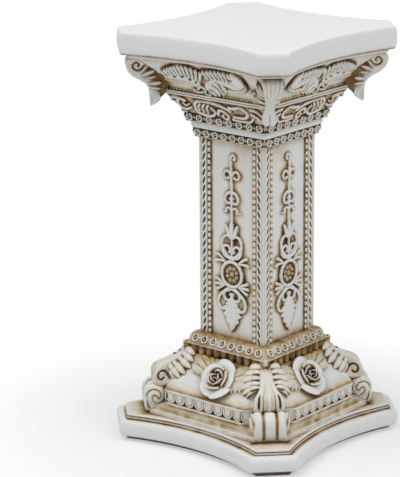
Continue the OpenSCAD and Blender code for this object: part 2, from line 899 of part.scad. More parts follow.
module palmette_front() {
    wing = [[-19, 15.5], [12, 16]];
    // Wings of overlapping lobes
    for (s = [0, 1], i = [0:8]) {
        x = wing[s][0] + (i - 4) * 3.3;
        tip = 18.2 - 0.09 * (i - 4) * (i - 4) * (s == 0 ? (i < 4 ? 1.6 : 0.5) : (i > 4 ? 1.6 : 0.5));
        translate([x, tip - 2.4])
            rotate((i - 4) * -5)
                scale([0.62, 1])
                    circle(r = 2.8, $fn = 12);
        translate([x + 1, tip - 6.6])
            scale([0.8, 1])
                circle(r = 2.6, $fn = 12);
    }
    polygon([[-32, 5], [-33, 11], [-26, 15], [-8, 15.5], [-6, 5], [-12, 4]]);
    polygon([[4, 9], [2, 15], [22, 15.5], [25, 11], [20, 8.5], [10, 8]]);
    // Shell and its side curl
    translate([1.5, 8])
        scale([1.4, 1])
            circle(r = 5.4, $fn = 20);
    ribbon(curl([-3, 12], 215, 15, 4, 24), 0.9, 0.7, 1.5);
    ribbon(curl([5, 13], -20, 13, -6, -22), 0.9, 0.7, 1.4);
}

// Corner bracket under the slab: a volute above a waist and an out-turned leaf tip
module bracket(k) {
    slab_corner = sqrt(2) * (slab_r - slab_cut / 2);
    rail_corner = sqrt(2) * (cap_rail_r - cap_rail_cut / 2);
    eye_c = [slab_corner - 10.7, z_cap_fillet - 7.6];
    roll_r = 7.4;
    tip = [rail_corner + 10.3, z_rail3 - 7.6];
    waist = [rail_corner + 10.5, z_rail3 + 3.4];
    color(relief_colour)
        on_corner(k)
            difference() {
                intersection() {
                    cheek(30)
                        union() {
                            translate(eye_c)
                                circle(r = roll_r, $fn = fine);
                            polygon([eye_c + [roll_r, 1], eye_c + [roll_r - 0.6, 7.4],
                                [rail_corner - 6, z_cap_fillet - 0.2],
                                [rail_corner - 6, waist[1] - 6], [rail_corner + 3, z_rail3 - 4.5],
                                tip + [-3.4, 2.2], tip, tip + [0.4, 5], waist,
                                waist + [0.8, 4.8], eye_c + [0, -roll_r + 0.3]]);
                        }
                    bracket_front();
                }
                rotate([0, 0, 45])
                    bell_shell();
                cheek_spirals(eye_c, roll_r * 2 / 3, 200, -230, 7.6);
            }
}

// Front outline of the bracket, drawn across the corner
module bracket_front() {
    low = z_rail3 - 8;
    half = [[2, low], [4.2, low + 3], [3.2, z_rail3 + 3], [3.8, z_flare + 2], [5, z_flare + 7],
        [7.6, z_flare + 14], [8, z_cap_fillet]];
    n = len(half) - 1;
    translate([30, 0, 0])
        rotate([90, 0, 90])
            linear_extrude(70)
                polygon(concat(half, [for (i = [n:-1:0]) [-half[i][0], half[i][1]]]));
}

foot_pad();
plinth();
base_block();
lower_collar();
shaft_core();
upper_collar();
capital_bell();
top_slab();
ring_row_bottom();
ring_row_middle();
ring_row_top();
frieze(0);  // frieze_front
frieze(1);  // frieze_right
frieze(2);  // frieze_back
frieze(3);  // frieze_left
volute(0);  // volute_front_right
volute(1);  // volute_back_right
volute(2);  // volute_back_left
volute(3);  // volute_front_left
acanthus(0);  // acanthus_front_right
acanthus(1);  // acanthus_back_right
acanthus(2);  // acanthus_back_left
acanthus(3);  // acanthus_front_left
rose(0);  // rose_front
rose(1);  // rose_right
rose(2);  // rose_back
rose(3);  // rose_left
rose_leaves(0);  // rose_leaves_front
rose_leaves(1);  // rose_leaves_right
rose_leaves(2);  // rose_leaves_back
rose_leaves(3);  // rose_leaves_left
moulding(0);  // moulding_front_right
moulding(1);  // moulding_back_right
moulding(2);  // moulding_back_left
moulding(3);  // moulding_front_left
panel(0);  // panel_front
panel(1);  // panel_right
panel(2);  // panel_back
panel(3);  // panel_left
scroll_frieze(0);  // scroll_frieze_front
scroll_frieze(1);  // scroll_frieze_right
scroll_frieze(2);  // scroll_frieze_back
scroll_frieze(3);  // scroll_frieze_left
palmette(0);  // palmette_front
palmette(1);  // palmette_right
palmette(2);  // palmette_back
palmette(3);  // palmette_left
bracket(0);  // bracket_front_right
bracket(1);  // bracket_back_right
bracket(2);  // bracket_back_left
bracket(3);  // bracket_front_left
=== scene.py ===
from math import pi

import bpy
import numpy as np
from mathutils import Matrix, Vector
from numpy import clip, cos, exp, hypot, interp, linspace, maximum, radians, sin, sqrt, where


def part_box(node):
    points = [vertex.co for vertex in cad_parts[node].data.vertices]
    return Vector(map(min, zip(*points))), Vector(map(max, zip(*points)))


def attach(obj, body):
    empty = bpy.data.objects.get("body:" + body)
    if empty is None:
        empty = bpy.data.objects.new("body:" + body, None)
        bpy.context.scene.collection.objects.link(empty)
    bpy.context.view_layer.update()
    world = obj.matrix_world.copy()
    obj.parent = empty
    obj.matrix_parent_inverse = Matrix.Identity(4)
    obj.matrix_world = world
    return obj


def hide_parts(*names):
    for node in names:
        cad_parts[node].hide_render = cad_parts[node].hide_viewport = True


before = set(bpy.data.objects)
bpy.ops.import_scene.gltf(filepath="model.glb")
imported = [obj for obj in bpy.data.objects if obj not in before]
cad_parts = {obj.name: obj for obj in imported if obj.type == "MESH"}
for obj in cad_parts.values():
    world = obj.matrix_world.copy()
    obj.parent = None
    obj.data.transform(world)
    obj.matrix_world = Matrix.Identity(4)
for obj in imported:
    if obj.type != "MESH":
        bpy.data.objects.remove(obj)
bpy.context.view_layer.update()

# Camera at the photograph's viewing angle: it looks at the front right corner from
# the left of the diagonal and a little above the slab. The view is shifted, because
# the column stands right of the middle of the photograph.
photo_width, photo_height = 400, 477
view_yaw, view_pitch = radians(38.4), radians(16)
view_distance, view_height = 1.366, 0.5172
focal_pixels, centre_pixel = 2270, 257
scene = bpy.context.scene
view = bpy.data.cameras.new("view")
view.sensor_width = 36
view.lens = focal_pixels * view.sensor_width / photo_height
view.shift_x = (photo_width / 2 - centre_pixel) / photo_height
viewer = bpy.data.objects.new("view", view)
viewer.matrix_world = (
    Matrix.Translation((view_distance * sin(view_yaw), -view_distance * cos(view_yaw), view_height))
    @ Matrix.Rotation(view_yaw, 4, "Z") @ Matrix.Rotation(pi / 2 - view_pitch, 4, "X"))
scene.collection.objects.link(viewer)
scene.camera = viewer

# White studio: a large soft lamp high on the left, a weaker one on the right and an
# even surrounding, so that level faces are brightest. The floor and the surrounding are
# white to the camera and in reflections, and the floor keeps the column's shadow.


def feed(made, feeds):
    """Gives each named or numbered input of a shader node a socket or a fixed value."""
    for place, value in feeds.items():
        if isinstance(value, bpy.types.NodeSocket):
            made.id_data.links.new(value, made.inputs[place])
        else:
            made.inputs[place].default_value = value
    return made


def node(tree, kind, feeds=None, **settings):
    """New shader node with its settings made and its inputs fed."""
    made = tree.nodes.new("ShaderNode" + kind)
    for key, value in settings.items():
        setattr(made, key, value)
    return feed(made, feeds or {})


def calc(tree, operation, *values, clamp=False):
    """Result of a sum on sockets or numbers."""
    made = node(tree, "Math", dict(enumerate(values)), operation=operation, use_clamp=clamp)
    return made.outputs[0]


def to_eye(tree):
    """1 for what the camera sees directly or in a reflection, else 0."""
    path = node(tree, "LightPath").outputs
    return calc(tree, "MAXIMUM", path["Is Camera Ray"], path["Is Glossy Ray"])


def paint(name):
    """New material, its node tree and its plain shader."""
    made = bpy.data.materials.new(name)
    made.use_nodes = True
    return made, made.node_tree, made.node_tree.nodes["Principled BSDF"]


def soft_lamp(name, turn, rise, distance, size, power):
    """Square area lamp that faces the middle of the column, turned from the front towards +X."""
    lamp = bpy.data.lights.new(name, "AREA")
    lamp.size = size
    lamp.energy = power
    holder = bpy.data.objects.new(name, lamp)
    turn, rise = radians(turn), radians(rise)
    away = distance * Vector((sin(turn) * cos(rise), -cos(turn) * cos(rise), sin(rise)))
    holder.location = column_middle + away
    holder.rotation_euler = away.to_track_quat("Z", "Y").to_euler()
    scene.collection.objects.link(holder)


scene.view_settings.view_transform = "Standard"
column_middle = Vector((0, 0, 0.13))
soft_lamp("lamp_left", -20, 62, 1.5, 1.1, 11.3)
soft_lamp("lamp_right", 100, 48, 1.6, 1.0, 8)
scene.world = bpy.data.worlds.new("studio")
scene.world.use_nodes = True
sky = scene.world.node_tree
sky.nodes.clear()
even_light = node(sky, "Background", {"Color": (0.95, 0.97, 1, 1), "Strength": 0.36}).outputs[0]
white_sky = node(sky, "Background", {"Color": (1, 1, 1, 1)}).outputs[0]
sky_mix = node(sky, "MixShader", {0: to_eye(sky), 1: even_light, 2: white_sky})
node(sky, "OutputWorld", {"Surface": sky_mix.outputs[0]})

floor_half, shadow_reach, white_reach = 6, 0.09, 0.2
floor_mesh = bpy.data.meshes.new("floor")
floor_corners = [(x * floor_half, y * floor_half, 0) for x, y in ((-1, -1), (1, -1), (1, 1), (-1, 1))]
floor_mesh.from_pydata(floor_corners, [], [(0, 1, 2, 3)])
floor = bpy.data.objects.new("floor", floor_mesh)
scene.collection.objects.link(floor)
floor_paint, ground, matte = paint("floor")
floor_mesh.materials.append(floor_paint)
feed(matte, {"Base Color": (0.9, 0.9, 0.9, 1), "Roughness": 0.9})
floor_place = node(ground, "TexCoord").outputs["Object"]
from_column = node(ground, "VectorMath", {0: floor_place}, operation="LENGTH").outputs["Value"]
fade = {"Value": from_column, "From Min": shadow_reach, "From Max": white_reach, "To Min": 0.4}
whiteness = node(ground, "MapRange", fade).outputs[0]
shown = calc(ground, "MULTIPLY", to_eye(ground), whiteness)
glow = node(ground, "Emission").outputs[0]
floor_mix = node(ground, "MixShader", {0: shown, 1: matte.outputs[0], 2: glow})
feed(ground.nodes["Material Output"], {"Surface": floor_mix.outputs[0]})

# Finish of every casting: matte antique white, with an ochre-brown wash that was
# brushed on and wiped off, so that it stays in the hollows. The wash attribute of a
# mesh says how dark each point is: the wash that stays, and on some pieces painted shade
# and painted shadow as well; fine noise breaks it up, and a light bump gives the cast skin.
wash_colours = [(0.1, (214, 207, 191)), (0.28, (186, 162, 122)), (0.5, (144, 110, 64)),
                (0.75, (82, 56, 30)), (1, (28, 20, 12))]


def plain(colour):
    """Colour seen on screen, 0 to 255, as the linear colour that the shader takes."""
    seen = np.array(colour) / 255
    return (*where(seen > 0.04045, ((seen + 0.055) / 1.055) ** 2.4, seen / 12.92), 1)


def ramp(tree, source, stops):
    """Colour ramp over the stops (place, colour), fed by the source."""
    made = node(tree, "ValToRGB", {"Fac": source})
    band = made.color_ramp.elements
    while len(band) < len(stops):
        band.new(1)
    for element, (place, colour) in zip(band, stops):
        element.position = place
        element.color = plain(colour)
    return made.outputs["Color"]


def noise(tree, scale, detail, roughness=0.5):
    """Noise from 0 to 1 on the object's own coordinates."""
    place = node(tree, "TexCoord").outputs["Object"]
    grain = {"Vector": place, "Scale": scale, "Detail": detail, "Roughness": roughness}
    return node(tree, "TexNoise", grain).outputs["Fac"]


def antique_white(name, white, roughness):
    """Matte resin of that white with the wash over it."""
    made, tree, shader = paint(name)
    fine = noise(tree, 900, 3)
    blotch = noise(tree, 120, 5, 0.62)
    wash_and_shade = node(tree, "Attribute", attribute_name="wash_and_shade").outputs["Fac"]
    kept = calc(tree, "MULTIPLY", wash_and_shade, calc(tree, "MULTIPLY_ADD", blotch, 2.6, -0.3), clamp=True)
    kept = calc(tree, "ADD", kept, calc(tree, "MULTIPLY_ADD", fine, 0.06, -0.03), clamp=True)
    relief = node(tree, "Bump", {"Strength": 0.12, "Distance": 0.0004, "Height": fine})
    feed(shader, {"Base Color": ramp(tree, kept, [(0, white), *wash_colours]), "Roughness": roughness,
                  "Normal": relief.outputs["Normal"], "Specular IOR Level": 0.35})
    return made


finishes = {"casting": antique_white("casting", (230, 231, 230), 0.62),
            "ornament": antique_white("ornament", (230, 231, 229), 0.6)}

# Foot pad: a thin sheet of dark taupe felt, glued under the plinth. It keeps the
# shape of its frame node and takes a felt finish: fine fibres and a dull, soft sheen.
felt, felt_tree, felt_shader = paint("felt")
fibre = noise(felt_tree, 1400, 4)
nap = node(felt_tree, "Bump", {"Strength": 0.4, "Distance": 0.0005, "Height": fibre})
taupe = ramp(felt_tree, fibre, [(0.3, (88, 82, 76)), (0.7, (124, 116, 108))])
feed(felt_shader, {"Base Color": taupe, "Normal": nap.outputs["Normal"], "Roughness": 0.95,
                   "Sheen Weight": 0.3})
for name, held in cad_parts.items():
    held.data.materials.clear()
    held.data.materials.append(felt if name == "foot_pad" else finishes["casting"])

# Plinth: a bullnosed band with bowed-in sides and cut corners, under a reeded step.
# It is cast in one, so its edges are soft, and brown wash stays between the reeds.


def span(name):
    """Lowest and highest level of a frame node, in millimetres."""
    low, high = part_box(name)
    return low.z * 1000, high.z * 1000


def run_of(path):
    """Length along a path up to each of its points."""
    return np.concatenate([[0], np.cumsum(hypot(*np.diff(path, axis=0).T))])


def along(path, places):
    """Points of a path at those lengths along it."""
    return np.stack([interp(places, run_of(path), path[:, axis]) for axis in (0, 1)], -1)


def rounded(points, count, soft):
    """Closed outline through the points in even steps, each point averaged with its neighbours
    by a bell curve of width soft, by damping the outline's Fourier waves."""
    loop = np.vstack([points, points[:1]])
    length = run_of(loop)[-1]
    loop = along(loop, linspace(0, length, count, endpoint=False))
    kept = exp(-2 * (pi * np.fft.fftfreq(count) * soft * count / length) ** 2)
    return np.fft.ifft(np.fft.fft(loop, axis=0) * kept[:, None], axis=0).real


def plan(half, cut, bow, soft, count):
    """Outline of a course seen from above: each side bows in by bow as a parabola, each corner
    is cut off by cut, and the edges are rounded by soft."""
    share = linspace(-1, 1, 81)
    side = np.stack([share * (half - cut), -half + bow * (1 - share**2)], -1)
    turns = [[[cos(turn), sin(turn)], [-sin(turn), cos(turn)]] for turn in np.arange(4) * pi / 2]
    return rounded(np.concatenate(side @ turns), count, soft)


def course(levels, soft, count=384):
    """Rings through the levels (height, half width, corner cut, bow)."""
    return np.stack([np.column_stack([plan(*shape, soft, count), np.full(count, z)])
                     for z, *shape in levels])


def hollow(levels, width):
    """How deep each level's edge lies in a hollow: how far the profile's average round it, by a
    bell curve of that width, stands out from it."""
    edge = np.array(levels, float)[:, [1, 0]]
    run = run_of(edge)
    even = linspace(0, run[-1], max(8, int(run[-1] / 0.15)))
    fine = along(edge, even)
    weight = exp(-0.5 * ((even[:, None] - even) / width) ** 2)
    average = weight @ fine / weight.sum(1, keepdims=True)
    ahead = np.gradient(fine, axis=0)
    ahead /= hypot(*ahead.T)[:, None] + 1e-9
    outwards = np.stack([ahead[:, 1], -ahead[:, 0]], -1)
    return interp(run, even, ((average - fine) * outwards).sum(1))[:, None]


def make_piece(name, shells, slot, replaced, sharp=None):
    """Piece from closed shells, in place of a frame node. A shell is (rings, wash and painted shade):
    rings[j, i] is point i of ring j in millimetres, each ring closes on itself, and one face closes each
    end."""
    points, wash_and_shade, face_points, face_sizes = [], [], [], []
    first = 0
    for rings, stain in shells:
        rows, across = rings.shape[:2]
        row, column = np.mgrid[0:rows - 1, 0:across] * [[[across]], [[1]]]
        here, beside = row + column, row + (column + 1) % across
        quads = np.stack([here, beside, beside + across, here + across], -1).reshape(-1, 4)
        flat = rings.reshape(-1, 3)
        a, b, c, d = (flat[quads[:, n]] - flat.mean(0) for n in range(4))
        volume = (np.cross(a, b) * c + np.cross(a, c) * d).sum()
        low, high = np.arange(across)[::-1], (rows - 1) * across + np.arange(across)
        if volume < 0:
            quads, low, high = quads[:, ::-1], low[::-1], high[::-1]
        face_points += [quads.ravel() + first, low + first, high + first]
        face_sizes += [np.full(len(quads), 4), [across], [across]]
        points.append(flat)
        wash_and_shade.append(np.broadcast_to(stain, rings.shape[:2]).ravel())
        first += len(flat)
    points, face_points, face_sizes = (np.concatenate(part) for part in (points, face_points, face_sizes))
    mesh = bpy.data.meshes.new(name)
    mesh.vertices.add(len(points))
    mesh.vertices.foreach_set("co", (points / 1000).astype(np.float32).ravel())
    mesh.loops.add(len(face_points))
    mesh.loops.foreach_set("vertex_index", face_points.astype(np.int32))
    mesh.polygons.add(len(face_sizes))
    mesh.polygons.foreach_set("loop_start", (np.cumsum(face_sizes) - face_sizes).astype(np.int32))
    mesh.update(calc_edges=True)
    mesh.validate()
    mesh.polygons.foreach_set("use_smooth", np.ones(len(mesh.polygons), bool))
    if sharp:
        mesh.set_sharp_from_angle(angle=radians(sharp))
    held = mesh.attributes.new("wash_and_shade", "FLOAT", "POINT")
    held.data.foreach_set("value", clip(np.concatenate(wash_and_shade), 0, 1).astype(np.float32))
    mesh.materials.append(finishes[slot])
    made = bpy.data.objects.new(name, mesh)
    scene.collection.objects.link(made)
    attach(made, "root")
    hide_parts(replaced)


def bullnose(z_low, z_high, half, inset, rows=12):
    """Levels and half widths of a flattened half round from z_low to z_high: at each share of the
    way from its middle it lies inset * (1 - root of (1 - share^3.2)) inside half."""
    shares = sin(linspace(-1, 1, rows) * pi / 2)
    return [(z_low + (z_high - z_low) * (share + 1) / 2,
             half - inset * (1 - (1 - abs(share) ** 3.2) ** 0.5)) for share in shares]


def nearness(distance, reach):
    """1 at a distance of 0 or less, falling to about a third one reach away."""
    return exp(-clip(distance, 0, None) / reach)


plinth_low, plinth_high = span("plinth")
plinth_half, plinth_cut, plinth_bow = 73, 20.4, 9.5
step_half, step_cut = 66.5, 14.4
band_height, ledge_flare = 10, 1.46
band_top = plinth_low + band_height
plinth_rows = [(z, half, plinth_cut, plinth_bow)
               for z, half in bullnose(plinth_low, band_top, plinth_half, 2.4)]
# Reeds of the step, from below: rise above the band, inset from the step's half width, wash.
step_profile = [(0, -2.4, 0.04), (0, -1.2, 0.45), (0.05, 0.3, 0.62), (0.3, 0.3, 0.5), (0.4, 0, 0.16),
                (0.9, 0, 0.02), (1.4, 0, 0.1), (1.5, 0.3, 0.5), (1.55, 0.8, 0.8), (1.9, 0.8, 0.75),
                (1.95, 0.4, 0.4), (2.1, 0.2, 0.1), (2.6, 0.2, 0.02), (3.0, 0.4, 0.03),
                (3.25, 0.9, 0.05), (3.3, 1.5, 0.06)]
plinth_rows += [(band_top + rise, step_half - inset, step_cut + ledge_flare * max(-inset, 0), plinth_bow)
                for rise, inset, _ in step_profile]
first_top = len(plinth_rows)
plinth_rows += [(plinth_high, half, step_cut, plinth_bow) for half in (64, 63, 62, 61, 60, 58.5, 57, 55)]
plinth_rows += [(plinth_high, 45, 10, 5)]
plinth_rings = course(plinth_rows, 0.7, 560)
plinth_wash = np.zeros(plinth_rings.shape[:2])
plinth_wash[0:2] = 0.1
plinth_wash[first_top - len(step_profile):first_top] = np.array(step_profile)[:, 2:]
box_foot, box_corner, foot_corner = 56.2, 59.11, 69.4
volute_reach, volute_end = 10.7, 72
x, y = abs(plinth_rings[first_top:, :, 0]), abs(plinth_rings[first_top:, :, 1])
diagonal, off_diagonal = (x + y) / sqrt(2), abs(x - y) / sqrt(2)
from_box = maximum(maximum(x, y) - box_foot, diagonal - foot_corner)
from_volute = hypot(clip(off_diagonal - volute_reach, 0, None), clip(diagonal - volute_end, 0, None))
plinth_wash[first_top:] = 0.07 + 0.5 * nearness(from_box, 1.3) + 0.6 * nearness(from_volute, 2.0)
make_piece("plinth_casting", [(plinth_rings, plinth_wash)], "casting", "plinth", sharp=40)

# Base block: a straight octagonal box with a cove, two thin rails with a sunk frieze
# between them, and a sloping bell on top. Cast hollow; the wash gathers under the
# collar and over the upper rail, and painted shadow darkens the bell round the roses and leaves.
plug_depth = 7.5
box_low, box_high = span("base_block")[0] + plug_depth, span("base_block")[1]
frieze_low, frieze_high = span("frieze_front")
rail_height = 1.2
rail_foot, bell_low = frieze_low - rail_height, frieze_high + rail_height
frieze_half, bell_half, bell_top_half, bell_top_cut = 52.6, 52.4, 34, 6
slope_rise, slope_run = box_high - bell_low, bell_half - bell_top_half
slope_length = hypot(slope_run, slope_rise)
slope_normal = (slope_rise / slope_length, slope_run / slope_length)
rose_place, rose_half = (4.8, 14), 12


def box_cut(half, corner=box_corner):
    """Corner cut that puts the corner flat of a course at that distance from the axis."""
    return 2 * half - sqrt(2) * corner


def side_of(rings):
    """For each point of a full course: distance across its side and distance out from the axis,
    with the sign that the mirrored ornament of that side has."""
    x, y = rings[..., 0], rings[..., 1]
    turn = np.round(np.arctan2(x, -y) / (pi / 2)).astype(int) % 4
    return np.choose(turn, [x, y, -x, -y]) * where(turn % 2, -1, 1), np.choose(turn, [-y, x, y, -x])


# Cove and rails, from below: rise, half width, and distance of the corner flat from the axis.
box_profile = [(0, box_foot, foot_corner), (1.2, box_foot, foot_corner), (1.35, 55.6, 69),
               (1.5, 55.5, 68.8), (1.9, 55.6, 68.9), (2.3, 54.8, 68.2), (2.6, 54.1, 67.6), (3.2, 53.6, 67),
               (4.2, 53.2, 66.6), (5, 53.2, 66), (6.2, 53.2, 62), (7, 53.2, box_corner),
               (7.5, 53.5, box_corner)]
box_profile += [(rise, half, box_corner) for rise, half in
                ((7.7, 54), (8.8, 54), (8.95, 53.6), (9, frieze_half), (16, frieze_half), (16.1, 53.6),
                 (16.2, 54), (17.1, 54), (17.3, 53.4))]
box_rows = [(box_low + rise, half, box_cut(half, corner), 0) for rise, half, corner in box_profile]
box_rows += [(bell_low + slope_rise * s, bell_half - slope_run * s,
              box_cut(bell_half) + (bell_top_cut - box_cut(bell_half)) * s, 0) for s in linspace(0, 1, 34)]
box_rings = course(box_rows, 0.5)
across, outwards = side_of(box_rings)
height = box_rings[..., 2]
up_slope = (height - bell_low) * slope_length / slope_rise - rose_place[1]
from_middle = across - rose_place[0]
# Wash on the bell under the collar, over the upper rail and beside the acanthus, and painted
# shadow round the rose, the left leaf and the right leaf.
bell_wash_and_shade = 0.45 * nearness(hypot(from_middle, up_slope) - rose_half, 1.6)
bell_wash_and_shade += 0.38 * nearness(hypot(from_middle + 12, (up_slope - 6) / 0.6) - 11, 1.6)
bell_wash_and_shade += 0.38 * nearness(hypot(from_middle - 14, (up_slope - 4) / 0.7) - 12, 1.6)
bell_wash_and_shade += 0.5 * nearness(box_high - height, 2.2) + 0.26 * nearness(height - bell_low, 2.2)
bell_wash_and_shade += 0.45 * nearness(bell_half + 6 - abs(across) - 0.62 * (height - bell_low), 3)
box_wash_and_shade = clip(hollow(box_rows, 1.1) * 1.3, 0, 1)
brushed = 0.8 + 0.3 * sin(0.4 * across + 1.6 * sin(0.23 * across + 0.5 * height))
cove_wash = brushed * (box_wash_and_shade + 0.08 + 0.25 * nearness(rail_foot - height, 1.3))
box_wash_and_shade = where(height < rail_foot, cove_wash, box_wash_and_shade) + where(height > bell_low + 0.1, bell_wash_and_shade, 0)
make_piece("base_block_casting", [(box_rings, box_wash_and_shade)], "casting", "base_block", sharp=50)

# Tongue friezes: a strip of eight upright tongues with sunk rims between the rails of
# each side, with dark triangles between their round feet, and one more tongue on each
# corner flat. They are cast in one with the box.
sides = ("front", "right", "back", "left")
corners = ("front_right", "back_right", "back_left", "front_left")


def round_top(share):
    """Height of a half round at that share of its half width: the root of 1 - share squared."""
    return sqrt(clip(1 - share**2, 0, 1))


def ridge(share):
    """Height of a soft ridge at that share of its width: e to the power of -share squared."""
    return exp(-(share**2))


def points_of(x, y, up):
    """Points from their three coordinates, which may differ in shape."""
    return np.stack(np.broadcast_arrays(x, y, up), -1)


def on_side(k, across, outwards, up):
    """Points on side k, 0 front and then counter-clockwise from above, from distance across
    it, distance out from the axis and height. Neighbouring sides mirror each other."""
    turn = k * pi / 2
    x = across * (-1) ** k
    return points_of(x * cos(turn) + outwards * sin(turn), x * sin(turn) - outwards * cos(turn), up)


def on_corner(k, across, outwards, up):
    """Points round corner k, 0 front right and then counter-clockwise, from distance off the
    diagonal, distance out along it and height."""
    turn = k * pi / 2 - pi / 4
    return points_of(outwards * cos(turn) - across * sin(turn),
                     outwards * sin(turn) + across * cos(turn), up)


def blurred(h, grid, width):
    """Height field averaged over a bell curve of that width in millimetres, along both
    directions of its grid (u, v)."""
    for axis, place in ((1, grid[0]), (0, grid[1])):
        weight = exp(-0.5 * ((place[:, None] - place) / width) ** 2)
        weight /= weight.sum(1, keepdims=True)
        h = h @ weight.T if axis else weight @ h
    return h


def stain_of(h, grid, narrow, wide, gain):
    """Wash that a height field keeps: more, the deeper a point lies under the average of its
    surroundings, over a narrow and a wide bell curve, each with its own gain."""
    return (gain[0] * clip(blurred(h, grid, narrow) - h, 0, None)
            + gain[1] * clip(blurred(h, grid, wide) - h - 0.05, 0, None))


def sheet(k, u, outwards, up, lift, normal, stain, depth=1.2, backs=9):
    """Shell of a relief on side k: the front is the surface (outwards, up) at distances u across
    the side, lifted by lift along the normal (out, up); the back lies depth behind it."""
    parts = (u, outwards, up, *normal)
    u, outwards, up, lean_out, lean_up = (np.broadcast_to(part, lift.shape) for part in parts)
    front = on_side(k, u, outwards + lift * lean_out, up + lift * lean_up)
    back = on_side(k, u, outwards - depth * lean_out, up - depth * lean_up)
    back = back[:, linspace(lift.shape[1] - 1, 0, backs).round().astype(int)]
    return np.concatenate([front, back], 1), np.concatenate([stain, np.full((len(stain), backs), 0.3)], 1)


def tongues(place, v, foot):
    """Relief and wash of upright tongues: place is the distance off a tongue's middle line and foot
    the radius of its round foot. A sunk line follows the rim."""
    edge = where(v < foot, hypot(place, v - foot), abs(place))
    relief = clip((foot - edge) / 0.35, 0, 1) ** 0.7 - 0.55 * ridge((edge - 0.62 * foot) / 0.3) * (v < 6)
    return 0.25 + 0.85 * clip(relief, 0, 1), 0.75 * (edge > foot - 0.1) + 0.05


tongues_half, tongue_count = sqrt(2) * box_corner - frieze_half - 0.3, 8
tongue_pitch = 2 * tongues_half / tongue_count
corner_place, corner_foot = 13.5, 3.5
tongue_grid = linspace(-tongues_half, tongues_half, 261), linspace(0, frieze_high - frieze_low, 28)
u, v = np.meshgrid(*tongue_grid)
tongue_lift, tongue_wash = tongues((u + tongues_half) % tongue_pitch - tongue_pitch / 2, v, tongue_pitch / 2)
tongue_wash = tongue_wash + stain_of(tongue_lift, tongue_grid, 0.4, 1, (1.1, 0.8))
turn_grid = linspace(10, 17.1, 32), tongue_grid[1]
turn_t, turn_v = np.meshgrid(*turn_grid)
turn_lift, turn_wash = tongues(turn_t - corner_place, turn_v, corner_foot)
turn_wash = turn_wash + stain_of(turn_lift, turn_grid, 0.4, 1, (1.1, 0.8))
turn_back = np.full((len(turn_v), 2), box_corner - 0.8)
turn_out = np.concatenate([box_corner - 0.3 + 0.8 * turn_lift, turn_back], 1)
turn_t = np.concatenate([turn_t, turn_t[:, [-1, 0]]], 1)
turn_v = np.concatenate([turn_v, turn_v[:, :2]], 1) + frieze_low
turn_wash = np.concatenate([turn_wash, turn_wash[:, :2]], 1)
for k, side in enumerate(sides):
    shells = [sheet(k, u, frieze_half, frieze_low + v, tongue_lift, (1, 0), tongue_wash),
              (on_corner(k - 1, turn_t, turn_out, turn_v), turn_wash),
              (on_corner(k, -turn_t, turn_out, turn_v), turn_wash)]
    make_piece("tongues_" + side, shells, "ornament", "frieze_" + side)

# Lower volutes: each stands on the step against the cut corner of the box. A scroll of
# resin with two round rolls on its front, a sunk band between them, and a spiral cut
# into both domed cheeks.


def scroll_rows(front, cheek):
    """Shares of the half width and of the outline for the rings of a scroll: from the centre of
    one cheek, over the front, to the centre of the other."""
    fade = linspace(0.03, 0.97, cheek) ** 0.8
    over = sin(linspace(-pi / 2, pi / 2, front))
    share = np.concatenate([np.full(cheek, -1), over, np.full(cheek, 1)])
    shrink = np.concatenate([fade, np.ones(front), fade[::-1]])
    return share[:, None], shrink[:, None]


def scroll(outline, centre, share, shrink, half, lift=0):
    """Rings of a scroll that lies across a corner: their distances off the diagonal and out along
    it, and their heights. Ring j is the outline (out, up), drawn in towards the centre to
    shrink[j] and set at share[j] of the half width. The half width may differ along the outline;
    lift moves the surface away from the centre."""
    half = np.mean(half) + (half - np.mean(half)) * shrink
    arm = outline - np.array(centre)
    scale = shrink * (1 + lift / hypot(*arm.T))
    return share * half, centre[0] + scale * arm[:, 0], centre[1] + scale * arm[:, 1]


def flow(points, steps=7):
    """Smooth path through the points: a Catmull-Rom curve."""
    p = np.array(points, float)
    p = np.vstack([2 * p[0] - p[1], p, 2 * p[-1] - p[-2]])
    s = linspace(0, 1, steps, endpoint=False)[:, None, None]
    a, b, c, d = p[:-3], p[1:-2], p[2:-1], p[3:]
    path = (2 * b + (c - a) * s + (2 * a - 5 * b + 4 * c - d) * s**2 + (3 * b - a - 3 * c + d) * s**3) / 2
    return np.vstack([path.transpose(1, 0, 2).reshape(-1, 2), p[-2]])


def near(path, u, v):
    """Each point's distance from a path, and the share of the path at its nearest point."""
    step = np.diff(path, axis=0)
    length = hypot(*step.T)
    x, y = u[..., None] - path[:-1, 0], v[..., None] - path[:-1, 1]
    part = clip((x * step[:, 0] + y * step[:, 1]) / length**2, 0, 1)
    away = hypot(x - part * step[:, 0], y - part * step[:, 1])
    run = (np.cumsum(length) - length + part * length) / length.sum()
    best = away.argmin(-1)[..., None]
    return np.take_along_axis(away, best, -1)[..., 0], np.take_along_axis(run, best, -1)[..., 0]


def groove_of(points, steps, u, v, width):
    """Depth, 0 to 1, of a soft groove along the smooth path through the points."""
    return ridge(near(flow(points, steps), u, v)[0] / width)


volute_eye, volute_half = (66, 28), 9.8
roll_place, roll_half, roll_rise = 7.2, 2.6, 2.4
band_half, seam_place, seam_end = 3.5, 4.05, 4.6
volute_shape = rounded([(67, 16.5), (71.4, 16.5), (72.4, 19.4), (73, 23.4), (73.2, 27.6), (72.2, 31),
                        (69.8, 33.7), (66.4, 34.9), (62.8, 34.3), (60.1, 32), (59, 28.8), (59.4, 25.2),
                        (61.4, 22.4), (64.4, 20.8), (66, 19.4)], 156, 0.5)
share, shrink = scroll_rows(45, 22)
on_cheek = shrink < 1
off_middle = abs(share) * volute_half
roll = roll_rise * round_top((off_middle - roll_place) / roll_half) - roll_rise
band = -0.7 - 0.9 * (off_middle / band_half) ** 3
volute_lift = where(off_middle > seam_end, roll, where(off_middle > band_half, -2.2, band))
t, out, up = scroll(volute_shape, volute_eye, share, shrink, volute_half, where(on_cheek, -1.2, volute_lift))
